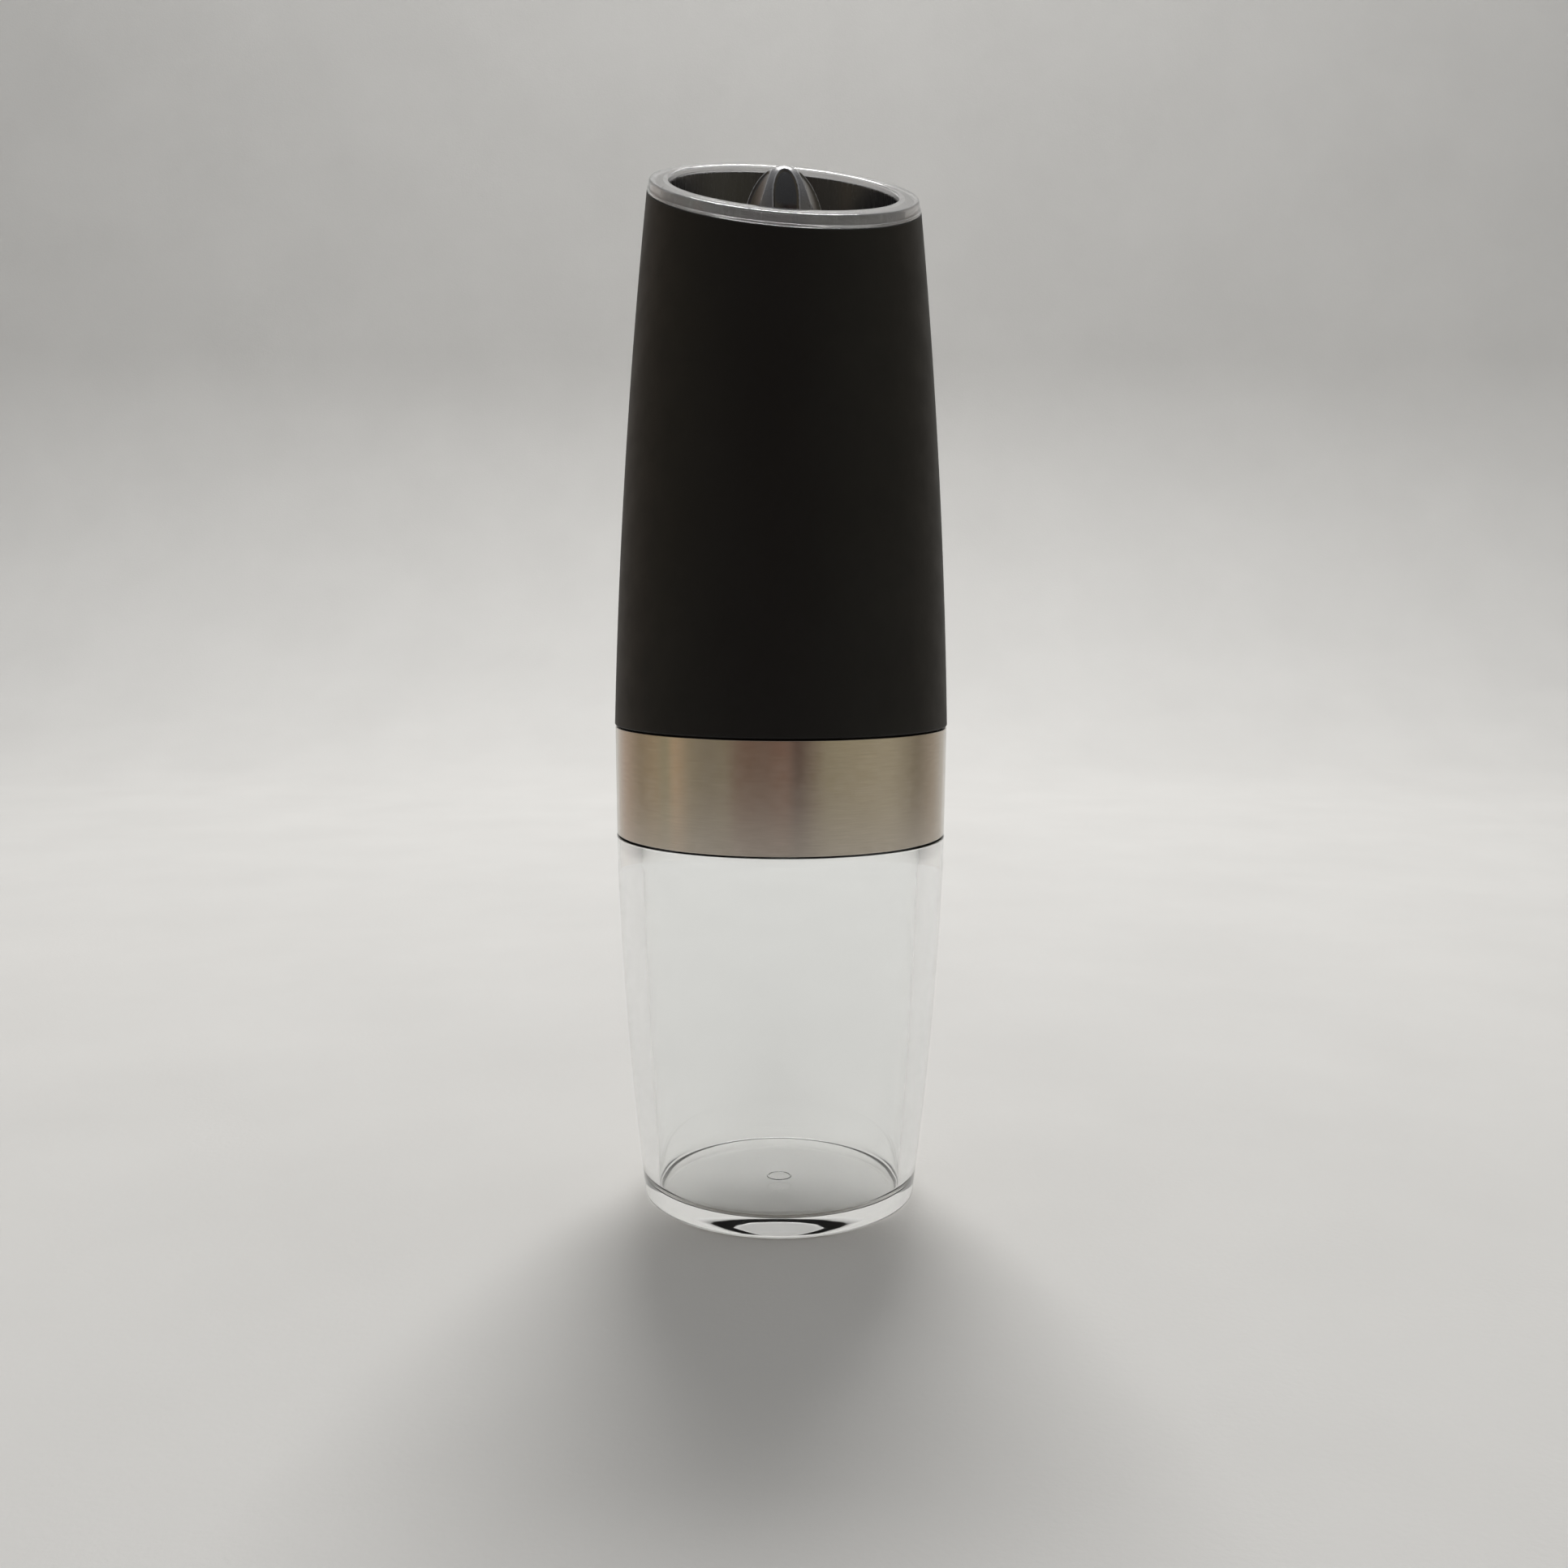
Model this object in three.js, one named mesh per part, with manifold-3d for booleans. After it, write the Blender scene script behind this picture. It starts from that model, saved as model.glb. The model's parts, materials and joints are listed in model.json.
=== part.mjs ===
// Gravity pepper mill: a clear jar below, a steel band, and a black housing with a slanted outlet on top.
// Millimetres, +Z up, origin at the centre of the jar's underside. Turned over, the mill grinds.
import * as THREE from 'three';
import { mergeVertices } from 'three/addons/utils/BufferGeometryUtils.js';
import Module from 'manifold-3d';

const wasm = await Module();
wasm.setup();

// ---- driving dimensions -------------------------------------------------------------------------

const facePlay = 0.3; // between pieces that face each other
const roundPlay = 0.4; // between round pieces, one inside the other

const jarHeight = 73.1; // underside to shoulder
const jarWall = 5; // at the shoulder
const jarFloor = 3.3;
const jarFootFillet = 1.5;
const jarFloorFillet = 3.5;
const jarStep = 0.2; // the shoulder stands this far inside the housing's foot
const neckHeight = 12.9;
const neckWall = 1.9;

const bandHeight = 20.9;
const bandWall = 0.6;
const bandTaper = 0.2; // the band's foot is this much smaller in radius than its top
const collarWall = 2.2; // around the neck
const deckThickness = 3;
const sealHeight = 1.4;
const spigotHeight = 7.3;
const jarTwistAngle = 35;
const sleeveTwistAngle = 30;
const lugWidth = 16; // degrees, on the neck
const lugHeight = 2.5;
const lugDepth = 1.1;
const sleeveLugWidth = 20; // degrees
const sleeveLugHeight = 1.2;

const cellDiameter = 10.5;
const cellLength = 44.5;
const cellPlay = 0.3; // around each cell in its bay
const cellWeb = 0.5; // between the two bores of a bay
const bayCount = 3;
const ductWall = 7.4; // degrees, between a bay and a duct
const frameWall = 0.45; // outside the cells
const gearboxStep = 0.6; // the gearbox is at least this much wider than the motor's bore
const bearingWall = 2.55; // between the motor's bore and the cells
const framePlate = 3;
const frameRoof = 2.4; // over the cells
const frameGap = 1.08; // frame to sleeve, at the frame's top
const wiringSpace = 3.5; // under the frame

const motorRadius = 12;
const motorLength = 30;
const motorShaftRadius = 1;
const tiltHeight = 6.8;
const tiltRadius = 2.6;
const tiltBallRadius = 1.5;
const boardThickness = 1;

const gearModule = 0.5;
const sunTeeth = 12;
const planetTeeth = 15;
const ringTeeth = sunTeeth + 2 * planetTeeth;
const planetCount = 3;
const gearWidth = 4.2;
const carrierThickness = 1.8;
const backlash = 0.14;
const pressureAngle = THREE.MathUtils.degToRad(20);
const ringWall = 1.9; // outside the ring gear's tooth roots

const deckPlate = 1.7;
const funnelWall = 1.4;
const funnelSlope = 45; // degrees
const flangeThickness = 1.5;
const burrRadius = 12.5;
const burrHeight = 10.6;
const retainerWall = 1.4;
const shaftRadius = 2.5;
const bladeRadius = 9;
const bladeHeight = 6;
const springRadius = 4.4;
const springWire = 0.45;
const springTurns = 4;
const burrTravel = 1.2;

const sleeveWall = 1.4;
const sleeveSlope = 0.0286; // at the sleeve's foot
const sleeveArc = 1278; // radius of the sleeve's long curve
const jarSlope = 0.0228;
const jarArc = 750;
const jarInnerSlope = 0.022;
const jarInnerArc = 1250;

const knobRadius = 8;
const knobStem = 6.5; // straight part
const knobDome = 14.05;
const knobFlutes = 6;
const fluteDepth = 1.1;
const cupWall = 0.8;
const cupFloor = 1.5;
const recessDepth = 18.2; // cup floor to the rim plane, on the axis
const rimTilt = THREE.MathUtils.degToRad(22.95);
const rimAzimuth = THREE.MathUtils.degToRad(-79.6); // downhill
const rimFlange = 1.3; // clear ring over the cup's wall
const rimSkirtWall = 2.25; // clear ring's outer wall, above the sleeve
const rimWidthLow = 4.7; // sleeve's outside to the recess, level with the cup's floor
const rimWidthHigh = 3.4; // and level with the rim's high side
const rimStep = 0.2; // the clear ring stands this far inside the sleeve
const ledCount = 3;
const ledRadius = 1;

// ---- heights, from the jar's underside up -------------------------------------------------------

const bandBottom = jarHeight + facePlay;
const bandTop = bandBottom + bandHeight;
const sleeveBottom = bandTop + facePlay;
const collarBottom = bandBottom + facePlay;
const neckTop = jarHeight + neckHeight;
const sealBottom = neckTop + facePlay;
const deckBottom = sealBottom + sealHeight + facePlay;
const deckTop = deckBottom + deckThickness;
const lugBottom = collarBottom + 5.3;
const spigotBottom = bandTop - facePlay;
const spigotTop = spigotBottom + spigotHeight;
const grooveBottom = spigotBottom + 1.2;
const grooveTop = grooveBottom + 1.7;
const sleeveLugBottom = grooveTop + 0.7;
const ledgeBottom = sleeveLugBottom + sleeveLugHeight + 0.6;
const ledgeTop = ledgeBottom + sleeveLugHeight;

const frameBottom = deckTop + wiringSpace;
const bayFloor = frameBottom + framePlate;
const cellBottom = bayFloor + 0.7;
const cellTop = cellBottom + cellLength;
const bayTop = cellTop + 0.9;
const boardBottom = deckTop + 1.3;
const boardTop = boardBottom + boardThickness;
const tiltBottom = boardTop + facePlay;
const motorBottom = tiltBottom + tiltHeight + 2 * facePlay;
const motorTop = motorBottom + motorLength;
const gearboxBottom = motorTop + facePlay;
const gearboxFloor = gearboxBottom + 1;
const stageOneBottom = gearboxFloor + facePlay;
const carrierOneBottom = stageOneBottom + gearWidth + facePlay;
const stageTwoBottom = carrierOneBottom + carrierThickness + facePlay;
const carrierTwoBottom = stageTwoBottom + gearWidth + facePlay;
const gearboxTop = carrierTwoBottom + carrierThickness + facePlay;
const capBottom = gearboxTop + facePlay;
const capTop = capBottom + 1.5;

const frameTop = Math.max(bayTop + frameRoof, capBottom - facePlay);
const platePlane = frameTop + facePlay;
const plateTop = platePlane + deckPlate;
const chamberBottom = Math.max(plateTop, capTop - 0.4) + facePlay;

// ---- radii ---------------------------------------------------------------------------------------

const cellRadius = cellDiameter / 2;
const boreRadius = cellRadius + cellPlay;
const ringPitchRadius = gearModule * ringTeeth / 2;
const motorBore = motorRadius + facePlay;
const gearboxRadius = Math.max(ringPitchRadius + 1.25 * gearModule + ringWall, motorBore + gearboxStep);
const gearboxBore = gearboxRadius + roundPlay;
const cellPitchRadius = gearboxBore + bearingWall + boreRadius;
const cellAngle = Math.asin((boreRadius + cellWeb / 2) / cellPitchRadius);
const frameRadius = cellPitchRadius + boreRadius + frameWall;
const frameTopRise = frameTop - sleeveBottom;
const baseRadius = frameRadius + frameGap + sleeveWall + sleeveSlope * frameTopRise
  + frameTopRise ** 2 / (2 * sleeveArc);
const bandRadius = baseRadius - 0.1;
const collarRadius = bandRadius - bandTaper - bandWall - facePlay;
const collarBore = collarRadius - collarWall;
const neckRadius = collarBore - facePlay;
const neckBore = neckRadius - neckWall;
const spigotBore = frameRadius + facePlay;
const spigotRadius = spigotBore + 1.3;
const ductInner = gearboxBore + 2.2;
const ductOuter = Math.min(frameRadius - 1.5, neckBore - 0.9);
const ductHalf = Math.PI / bayCount - cellAngle - Math.asin(boreRadius / cellPitchRadius)
  - THREE.MathUtils.degToRad(ductWall);

const sleeveRadius = (z) => baseRadius - sleeveSlope * (z - sleeveBottom)
  - (z - sleeveBottom) ** 2 / (2 * sleeveArc);
const jarRadius = (z) => baseRadius - jarStep - jarSlope * (jarHeight - z) - (jarHeight - z) ** 2 / (2 * jarArc);
const jarBore = (z) => baseRadius - jarStep - jarWall - jarInnerSlope * (jarHeight - z)
  - (jarHeight - z) ** 2 / (2 * jarInnerArc);

// ---- funnel, burrs and outlet --------------------------------------------------------------------

const funnelBottom = plateTop + facePlay;
const funnelRadius = frameRadius - facePlay;
const funnelConeBottom = Math.max(funnelBottom + flangeThickness, chamberBottom + 1.2);
const throatRadius = burrRadius - 2.1;
const funnelRise = Math.tan(THREE.MathUtils.degToRad(funnelSlope));
const coneRise = (funnelRadius - funnelWall - throatRadius) * funnelRise;
const bladeBottom = Math.max(chamberBottom, capTop) + 2;
const bladeTop = bladeBottom + bladeHeight;
const throatBottom = Math.max(funnelConeBottom + coneRise, bladeTop + 6);
const throatTop = throatBottom + flangeThickness;
const flangeRadius = burrRadius + 9.3;
const burrBottom = throatTop + facePlay;
const burrTop = burrBottom + burrHeight;
const retainerRadius = burrRadius + roundPlay + retainerWall;
const retainerTop = burrTop + facePlay + 1;
const innerBurrBottom = burrBottom + 0.4;
const innerBurrTop = burrTop + 0.6;
const hubTop = innerBurrTop + 1;
const knobBottom = hubTop + facePlay;
const domeBottom = knobBottom + knobStem;
const knobTop = domeBottom + knobDome;
const threadTop = knobTop - 7.5;
const cupFloorTop = burrTop + 0.7;
const cupFloorBottom = cupFloorTop - cupFloor;
const rimCentre = cupFloorTop + recessDepth;
const rimSlope = Math.tan(rimTilt);
const rimHighest = rimCentre + rimSlope * sleeveRadius(rimCentre + 10);
const recessRadius = (z) => {
  const t = (z - cupFloorTop) / (rimHighest - cupFloorTop);
  const low = sleeveRadius(cupFloorTop) - rimWidthLow;
  const high = sleeveRadius(rimHighest) - rimWidthHigh;
  return low + (high - low) * t;
};
const ledBoardBottom = throatTop + facePlay;
const ledRing = sleeveRadius(cupFloorBottom) - sleeveWall - 1.8;
const lightGuideBottom = ledBoardBottom + boardThickness + 3.4 + facePlay;

// ---- helpers ---------------------------------------------------------------------------------------

const turn = Math.PI * 2;
const degrees = THREE.MathUtils.degToRad;
const thirds = [0, 1, 2].map((i) => i * turn / 3);
const polar = (radius, angle) => new THREE.Vector2(radius * Math.cos(angle), radius * Math.sin(angle));

// Closed mesh to a solid with its faces outwards.
function solid(geometry) {
  const bare = geometry.index ? geometry.toNonIndexed() : geometry.clone();
  bare.deleteAttribute('normal');
  bare.deleteAttribute('uv');
  const merged = mergeVertices(bare, 1e-5);
  const position = merged.attributes.position;
  const at = (i) => new THREE.Vector3().fromBufferAttribute(position, i);
  const triangles = [];
  let volume = 0;
  for (let i = 0; i < merged.index.count; i += 3) {
    const [a, b, c] = [0, 1, 2].map((k) => merged.index.getX(i + k));
    if (a === b || b === c || c === a) continue;
    triangles.push([a, b, c]);
    volume += at(a).dot(at(b).cross(at(c)));
  }
  const outward = triangles.map(([a, b, c]) => (volume < 0 ? [a, c, b] : [a, b, c]));
  return new wasm.Manifold(new wasm.Mesh({
    numProp: 3,
    vertProperties: new Float32Array(position.array),
    triVerts: new Uint32Array(outward.flat()),
  }));
}

function geometryOf(manifold) {
  const mesh = manifold.getMesh();
  const geometry = new THREE.BufferGeometry();
  geometry.setAttribute('position', new THREE.BufferAttribute(new Float32Array(mesh.vertProperties), 3));
  geometry.setIndex(new THREE.BufferAttribute(new Uint32Array(mesh.triVerts), 1));
  geometry.computeVertexNormals();
  return geometry;
}

// Solid of revolution about Z from [radius, height] points, on the axis at both ends or closed on itself.
function revolve(points, segments = 30) {
  const profile = points.map(([r, z]) => new THREE.Vector2(r, z));
  const open = profile[0].x > 0 || profile[profile.length - 1].x > 0;
  if (open) profile.push(profile[0].clone());
  return solid(new THREE.LatheGeometry(profile, segments).rotateX(Math.PI / 2));
}

const disc = (radius, z0, z1, segments = 20) => revolve([[0, z0], [radius, z0], [radius, z1], [0, z1]], segments);
const tube = (inner, outer, z0, z1, segments = 30) => revolve(
  [[inner, z0], [outer, z0], [outer, z1], [inner, z1]], segments);

function prism(shape, z0, z1) {
  const geometry = new THREE.ExtrudeGeometry(shape, { depth: z1 - z0, bevelEnabled: false, curveSegments: 3 });
  return solid(geometry.translate(0, 0, z0));
}

function sector(inner, outer, from, to, z0, z1) {
  const shape = new THREE.Shape();
  shape.absarc(0, 0, outer, from, to, false);
  shape.absarc(0, 0, inner, to, from, true);
  return prism(shape, z0, z1);
}

function box(x0, x1, y0, y1, z0, z1) {
  const geometry = new THREE.BoxGeometry(x1 - x0, y1 - y0, z1 - z0);
  return solid(geometry.translate((x0 + x1) / 2, (y0 + y1) / 2, (z0 + z1) / 2));
}

const spun = (body, angle) => body.rotate([0, 0, THREE.MathUtils.radToDeg(angle)]);
const moved = (body, x, y) => body.translate([x, y, 0]);
const around = (body, angles = thirds) => angles.map((angle) => spun(body, angle));
const join = (first, ...rest) => rest.flat().reduce((sum, next) => sum.add(next), first);
const cut = (first, ...rest) => rest.flat().reduce((left, next) => left.subtract(next), first);

// Rings of equal length, stacked in height and closed by a flat cap at each end.
function loft(rings) {
  const count = rings[0].length;
  const caps = [rings[0], rings[rings.length - 1]].map((ring) => {
    const centre = ring.reduce((sum, p) => sum.add(p), new THREE.Vector3());
    return centre.divideScalar(count);
  });
  const points = [...rings.flat(), ...caps];
  const index = [];
  rings.slice(1).forEach((_, row) => {
    for (let i = 0; i < count; i += 1) {
      const next = (i + 1) % count;
      const [a, b] = [row * count + i, row * count + next];
      index.push(a, b, b + count, a, b + count, a + count);
    }
  });
  const last = (rings.length - 1) * count;
  for (let i = 0; i < count; i += 1) {
    const next = (i + 1) % count;
    index.push(rings.length * count, next, i);
    index.push(rings.length * count + 1, last + i, last + next);
  }
  const geometry = new THREE.BufferGeometry().setFromPoints(points);
  geometry.setIndex(index);
  return solid(geometry);
}

const heights = (from, to, steps) => Array.from({ length: steps + 1 }, (_, i) => from + (to - from) * i / steps);

// Everything above the slanted plane that meets the axis at this height.
function aboveRim(height) {
  const size = 200;
  const block = new THREE.BoxGeometry(size, size, size).translate(0, 0, size / 2);
  block.rotateY(rimTilt).rotateZ(rimAzimuth).translate(0, 0, height);
  return solid(block);
}

const assembly = new THREE.Group();
assembly.name = 'pepper_mill';

const finishes = {
  clear: { color: 0xe9eeee, roughness: 0.05, metalness: 0, transparent: true, opacity: 0.4 },
  softBlack: { color: 0x1a1a1b, roughness: 0.6, metalness: 0 },
  blackPlastic: { color: 0x161617, roughness: 0.4, metalness: 0 },
  recessGrey: { color: 0x2c2c2f, roughness: 0.35, metalness: 0 },
  smoke: { color: 0x55555a, roughness: 0.2, metalness: 0 },
  steel: { color: 0xa89f97, roughness: 0.32, metalness: 1 },
  zinc: { color: 0xb4b6b8, roughness: 0.35, metalness: 1 },
  brass: { color: 0xc2a35a, roughness: 0.35, metalness: 1 },
  copper: { color: 0xa8623a, roughness: 0.4, metalness: 1 },
  rubber: { color: 0x202022, roughness: 0.8, metalness: 0 },
  acetal: { color: 0xe6e2d6, roughness: 0.4, metalness: 0 },
  ceramic: { color: 0xf0ede4, roughness: 0.3, metalness: 0 },
  wrapper: { color: 0x3c4a6b, roughness: 0.35, metalness: 0 },
  board: { color: 0x1f5a35, roughness: 0.5, metalness: 0 },
  lamp: { color: 0xf4f4ee, roughness: 0.15, metalness: 0 },
};

function add(name, body, finish) {
  const mesh = new THREE.Mesh(geometryOf(body), new THREE.MeshStandardMaterial(finishes[finish]));
  mesh.name = name;
  assembly.add(mesh);
}

// ---- jar and its seal ----------------------------------------------------------------------------

function jar() {
  const footRadius = jarRadius(jarFootFillet) - jarFootFillet;
  const innerFoot = jarBore(jarFloor + jarFloorFillet) - jarFloorFillet;
  const quarter = [0, 1, 2, 3].map((i) => i * Math.PI / 6);
  const outline = [[0, 0]];
  quarter.forEach((a) => outline.push(
    [footRadius + jarFootFillet * Math.sin(a), jarFootFillet * (1 - Math.cos(a))]));
  heights(jarFootFillet, jarHeight, 5).slice(1).forEach((z) => outline.push([jarRadius(z), z]));
  outline.push([neckRadius, jarHeight], [neckRadius, neckTop], [neckBore, neckTop], [neckBore, jarHeight + 1]);
  heights(jarHeight - 3, jarFloor + jarFloorFillet, 4).forEach((z) => outline.push([jarBore(z), z]));
  [...quarter].reverse().slice(1).forEach((a) => outline.push(
    [innerFoot + jarFloorFillet * Math.sin(a), jarFloor + jarFloorFillet * (1 - Math.cos(a))]));
  outline.push([0, jarFloor]);
  const half = degrees(lugWidth / 2);
  const lug = sector(neckRadius - 0.5, neckRadius + lugDepth, -half, half, lugBottom, lugBottom + lugHeight);
  return join(revolve(outline, 40), around(lug));
}

add('jar', jar(), 'clear');
add('jar_seal', tube(neckBore + 0.1, neckRadius - 0.1, sealBottom, sealBottom + sealHeight), 'rubber');

// ---- collar and steel band -------------------------------------------------------------------------

const ports = (z0, z1) => around(sector(ductInner, ductOuter, -ductHalf, ductHalf, z0, z1),
  thirds.map((angle) => angle + Math.PI / bayCount));

function jarCollar() {
  const shell = revolve([[0, deckBottom], [collarBore, deckBottom], [collarBore, collarBottom],
    [collarRadius, collarBottom], [collarRadius, spigotBottom], [spigotRadius, spigotBottom],
    [spigotRadius, grooveBottom], [spigotRadius - 0.5, grooveBottom], [spigotRadius - 0.5, grooveTop],
    [spigotRadius, grooveTop], [spigotRadius, spigotTop], [spigotBore, spigotTop], [spigotBore, deckTop],
    [0, deckTop]], 36);
  const entry = degrees(lugWidth / 2 + 2);
  const groove = collarBore + lugDepth;
  const lead = sector(collarBore - 1, groove, -entry, entry, collarBottom - 1, lugBottom + lugHeight + 0.5);
  const track = sector(collarBore - 1, groove, -entry - degrees(jarTwistAngle), entry, lugBottom - 0.5,
    lugBottom + lugHeight + 0.5);
  const start = degrees(sleeveLugWidth / 2 + 4);
  const ledgeSpan = degrees(sleeveTwistAngle + sleeveLugWidth / 2);
  const ledge = sector(spigotRadius - 0.4, spigotRadius + 1.1, start, start + ledgeSpan, ledgeBottom, ledgeTop);
  const body = cut(shell, around(lead), around(track), ports(deckBottom - 1, deckTop + 1));
  return join(body, around(ledge));
}

add('jar_collar', jarCollar(), 'blackPlastic');
add('steel_band', revolve([[bandRadius - bandTaper - bandWall, bandBottom], [bandRadius - bandTaper, bandBottom],
  [bandRadius, bandTop], [bandRadius - bandWall, bandTop]], 40), 'steel');

// ---- battery frame, cells and contacts -------------------------------------------------------------

const cellAngles = thirds.flatMap((angle) => [angle - cellAngle, angle + cellAngle]);
const cellPlaces = cellAngles.map((angle) => polar(cellPitchRadius, angle));
const screwPitch = frameRadius - 2.7;
const postRadius = 1.6;

function batteryFrame() {
  const body = disc(frameRadius, frameBottom, frameTop, 36);
  const snouts = around(sector(ductInner - 1, ductOuter + 1, -ductHalf - 0.05, ductHalf + 0.05, deckTop + facePlay,
    frameBottom + 1), thirds.map((angle) => angle + Math.PI / bayCount));
  const bores = [disc(motorBore, frameBottom - 1, motorTop + 1), disc(gearboxBore, motorTop, frameTop + 1, 24)];
  const halfWidth = boreRadius * Math.cos(degrees(5));
  const cells = cellAngles.flatMap((angle, i) => {
    const side = i % 2 ? 1 : -1;
    const x = cellPitchRadius * Math.cos(cellAngle);
    const y = side * cellPitchRadius * Math.sin(cellAngle);
    const inner = side * 1.9;
    const outer = y + side * halfWidth;
    const mouth = box(x, frameRadius + 5, Math.min(inner, outer), Math.max(inner, outer), bayFloor, bayTop);
    return [moved(disc(boreRadius, bayFloor, bayTop, 16), cellPlaces[i].x, cellPlaces[i].y),
      spun(mouth, thirds[Math.floor(i / 2)]),
      moved(disc(postRadius + facePlay, frameBottom - 1, bayFloor + 1, 8), cellPlaces[i].x, cellPlaces[i].y)];
  });
  const screws = around(moved(disc(1.2, frameTop - 12, frameTop + 1, 8), screwPitch, 0));
  const bridges = around(sector(cellPitchRadius - 3.3, cellPitchRadius + 2.3, -cellAngle - 0.12, cellAngle + 0.12,
    bayTop - 0.9, bayTop));
  return cut(join(body, snouts), bores, cells, bridges, screws, ports(deckTop, frameTop + 1));
}

add('battery_frame', batteryFrame(), 'blackPlastic');

function cell(up) {
  const nub = 1.9;
  const rise = 0.9;
  const outline = [[0, 0], [cellRadius - 0.4, 0], [cellRadius, 0.4], [cellRadius, cellLength - rise],
    [nub, cellLength - rise], [nub, cellLength], [0, cellLength]];
  const body = revolve(outline.map(([r, z]) => [r, up ? z : cellLength - z]), 16);
  return body.translate([0, 0, cellBottom]);
}

cellPlaces.forEach((place, i) => add(`battery_${i + 1}`, moved(cell(i % 2 === 0), place.x, place.y), 'wrapper'));

// A strap under the frame, from one cell's post round the inside of a duct to the next bay's post.
const strapBottom = frameBottom - 0.8;
const strapTop = strapBottom + 0.4;
const strapArc = (motorBore + ductInner - 1) / 2;

function strapPost(i) {
  const place = cellPlaces[i];
  const leg = spun(box(strapArc, cellPitchRadius, -1, 1, strapBottom, strapTop), cellAngles[i]);
  return join(leg, moved(disc(postRadius, strapBottom, cellBottom - 0.2, 8), place.x, place.y));
}

const strapAt = (from, to) => sector(strapArc - 0.7, strapArc + 0.7, from, to, strapBottom, strapTop);

[[1, 2], [3, 4]].forEach(([a, b], i) => {
  const strap = join(strapAt(cellAngles[a], cellAngles[b]), strapPost(a), strapPost(b));
  add(`lower_contact_${i + 1}`, strap, 'brass');
});
add('positive_terminal', join(strapAt(cellAngles[0], cellAngles[0] + 0.12), strapPost(0)), 'brass');
add('negative_terminal', join(strapAt(cellAngles[5] - 0.12, cellAngles[5]), strapPost(5)), 'brass');

thirds.forEach((angle, i) => {
  const [a, b] = [cellAngles[2 * i], cellAngles[2 * i + 1]];
  const plate = sector(cellPitchRadius - 3, cellPitchRadius + 2, a - 0.1, b + 0.1, bayTop - 0.6, bayTop - 0.2);
  add(`upper_contact_${i + 1}`, plate, 'brass');
});

// ---- switch, board and motor ---------------------------------------------------------------------

const tiltAt = polar(motorRadius * 0.45, 0);

function tiltCan() {
  const wall = 0.4;
  const outline = [[0, tiltBottom + tiltHeight - wall], [tiltRadius - wall, tiltBottom + tiltHeight - wall],
    [tiltRadius - wall, tiltBottom + 1.2], [tiltRadius, tiltBottom + 1.2], [tiltRadius, tiltBottom + tiltHeight],
    [0, tiltBottom + tiltHeight]];
  return moved(revolve(outline, 20), tiltAt.x, tiltAt.y);
}

function ball(radius, place, z) {
  return moved(solid(new THREE.SphereGeometry(radius, 12, 6).translate(0, 0, z)), place.x, place.y);
}

const tiltFloor = tiltBottom + 1;
add('control_board', cut(disc(motorRadius - 0.4, boardBottom, boardTop, 24),
  around(moved(disc(1, boardBottom - 1, boardTop + 1, 8), motorRadius - 2.4, 0), thirds.map((a) => a + 0.6))), 'board');
add('tilt_switch_can', tiltCan(), 'zinc');
add('tilt_switch_base', moved(disc(tiltRadius, tiltBottom, tiltFloor, 20), tiltAt.x, tiltAt.y), 'blackPlastic');
add('tilt_ball', ball(tiltBallRadius, tiltAt, tiltFloor + 0.2 + tiltBallRadius), 'zinc');

const canWall = 0.8;
const canBore = motorRadius - canWall;
const endCapTop = motorBottom + 3;
const rotorRadius = canBore - 3.4;
const boss = 3;

function motorCan() {
  return revolve([[motorShaftRadius + 0.5, motorTop - 1], [canBore, motorTop - 1], [canBore, endCapTop + facePlay],
    [motorRadius, endCapTop + facePlay], [motorRadius, motorTop], [motorShaftRadius + 0.5, motorTop]], 24);
}

function motorEndCap() {
  return revolve([[motorShaftRadius + 0.5, motorBottom], [motorRadius, motorBottom], [motorRadius, endCapTop],
    [canBore - 1, endCapTop], [canBore - 1, motorBottom + 1.2], [boss, motorBottom + 1.2], [boss, motorBottom + 2],
    [motorShaftRadius + 0.5, motorBottom + 2]], 24);
}

function armature() {
  const rotor = new THREE.Shape();
  const slots = 5;
  const step = turn / slots;
  for (let i = 0; i < slots; i += 1) {
    const at = i * step;
    rotor.absarc(0, 0, rotorRadius, at - 0.5, at + 0.5, false);
    rotor.absarc(0, 0, rotorRadius * 0.45, at + 0.6, at + step - 0.6, false);
  }
  const core = prism(rotor, endCapTop + 6, motorTop - 5);
  const commutator = disc(2.6, endCapTop + 0.6, endCapTop + 5, 20);
  const shaft = disc(motorShaftRadius, motorBottom + 0.4, stageOneBottom + gearWidth - 0.3, 16);
  return join(core, commutator, shaft);
}

function magnet(angle) {
  return sector(rotorRadius + 0.5, canBore - facePlay, angle - 1.1, angle + 1.1, endCapTop + 4, motorTop - 4);
}

add('motor_can', motorCan(), 'zinc');
add('motor_end_cap', motorEndCap(), 'blackPlastic');
add('motor_armature', armature(), 'copper');
[0, Math.PI].forEach((angle, i) => {
  add(`motor_magnet_${i + 1}`, magnet(angle + Math.PI / 2), 'rubber');
  const brush = box(3, canBore - 1.6, -1, 1, endCapTop + 1, endCapTop + 2.4);
  add(`motor_brush_${i + 1}`, spun(brush, angle), 'copper');
});

// ---- two planetary stages -------------------------------------------------------------------------

const involute = (angle) => Math.tan(angle) - angle;

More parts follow.
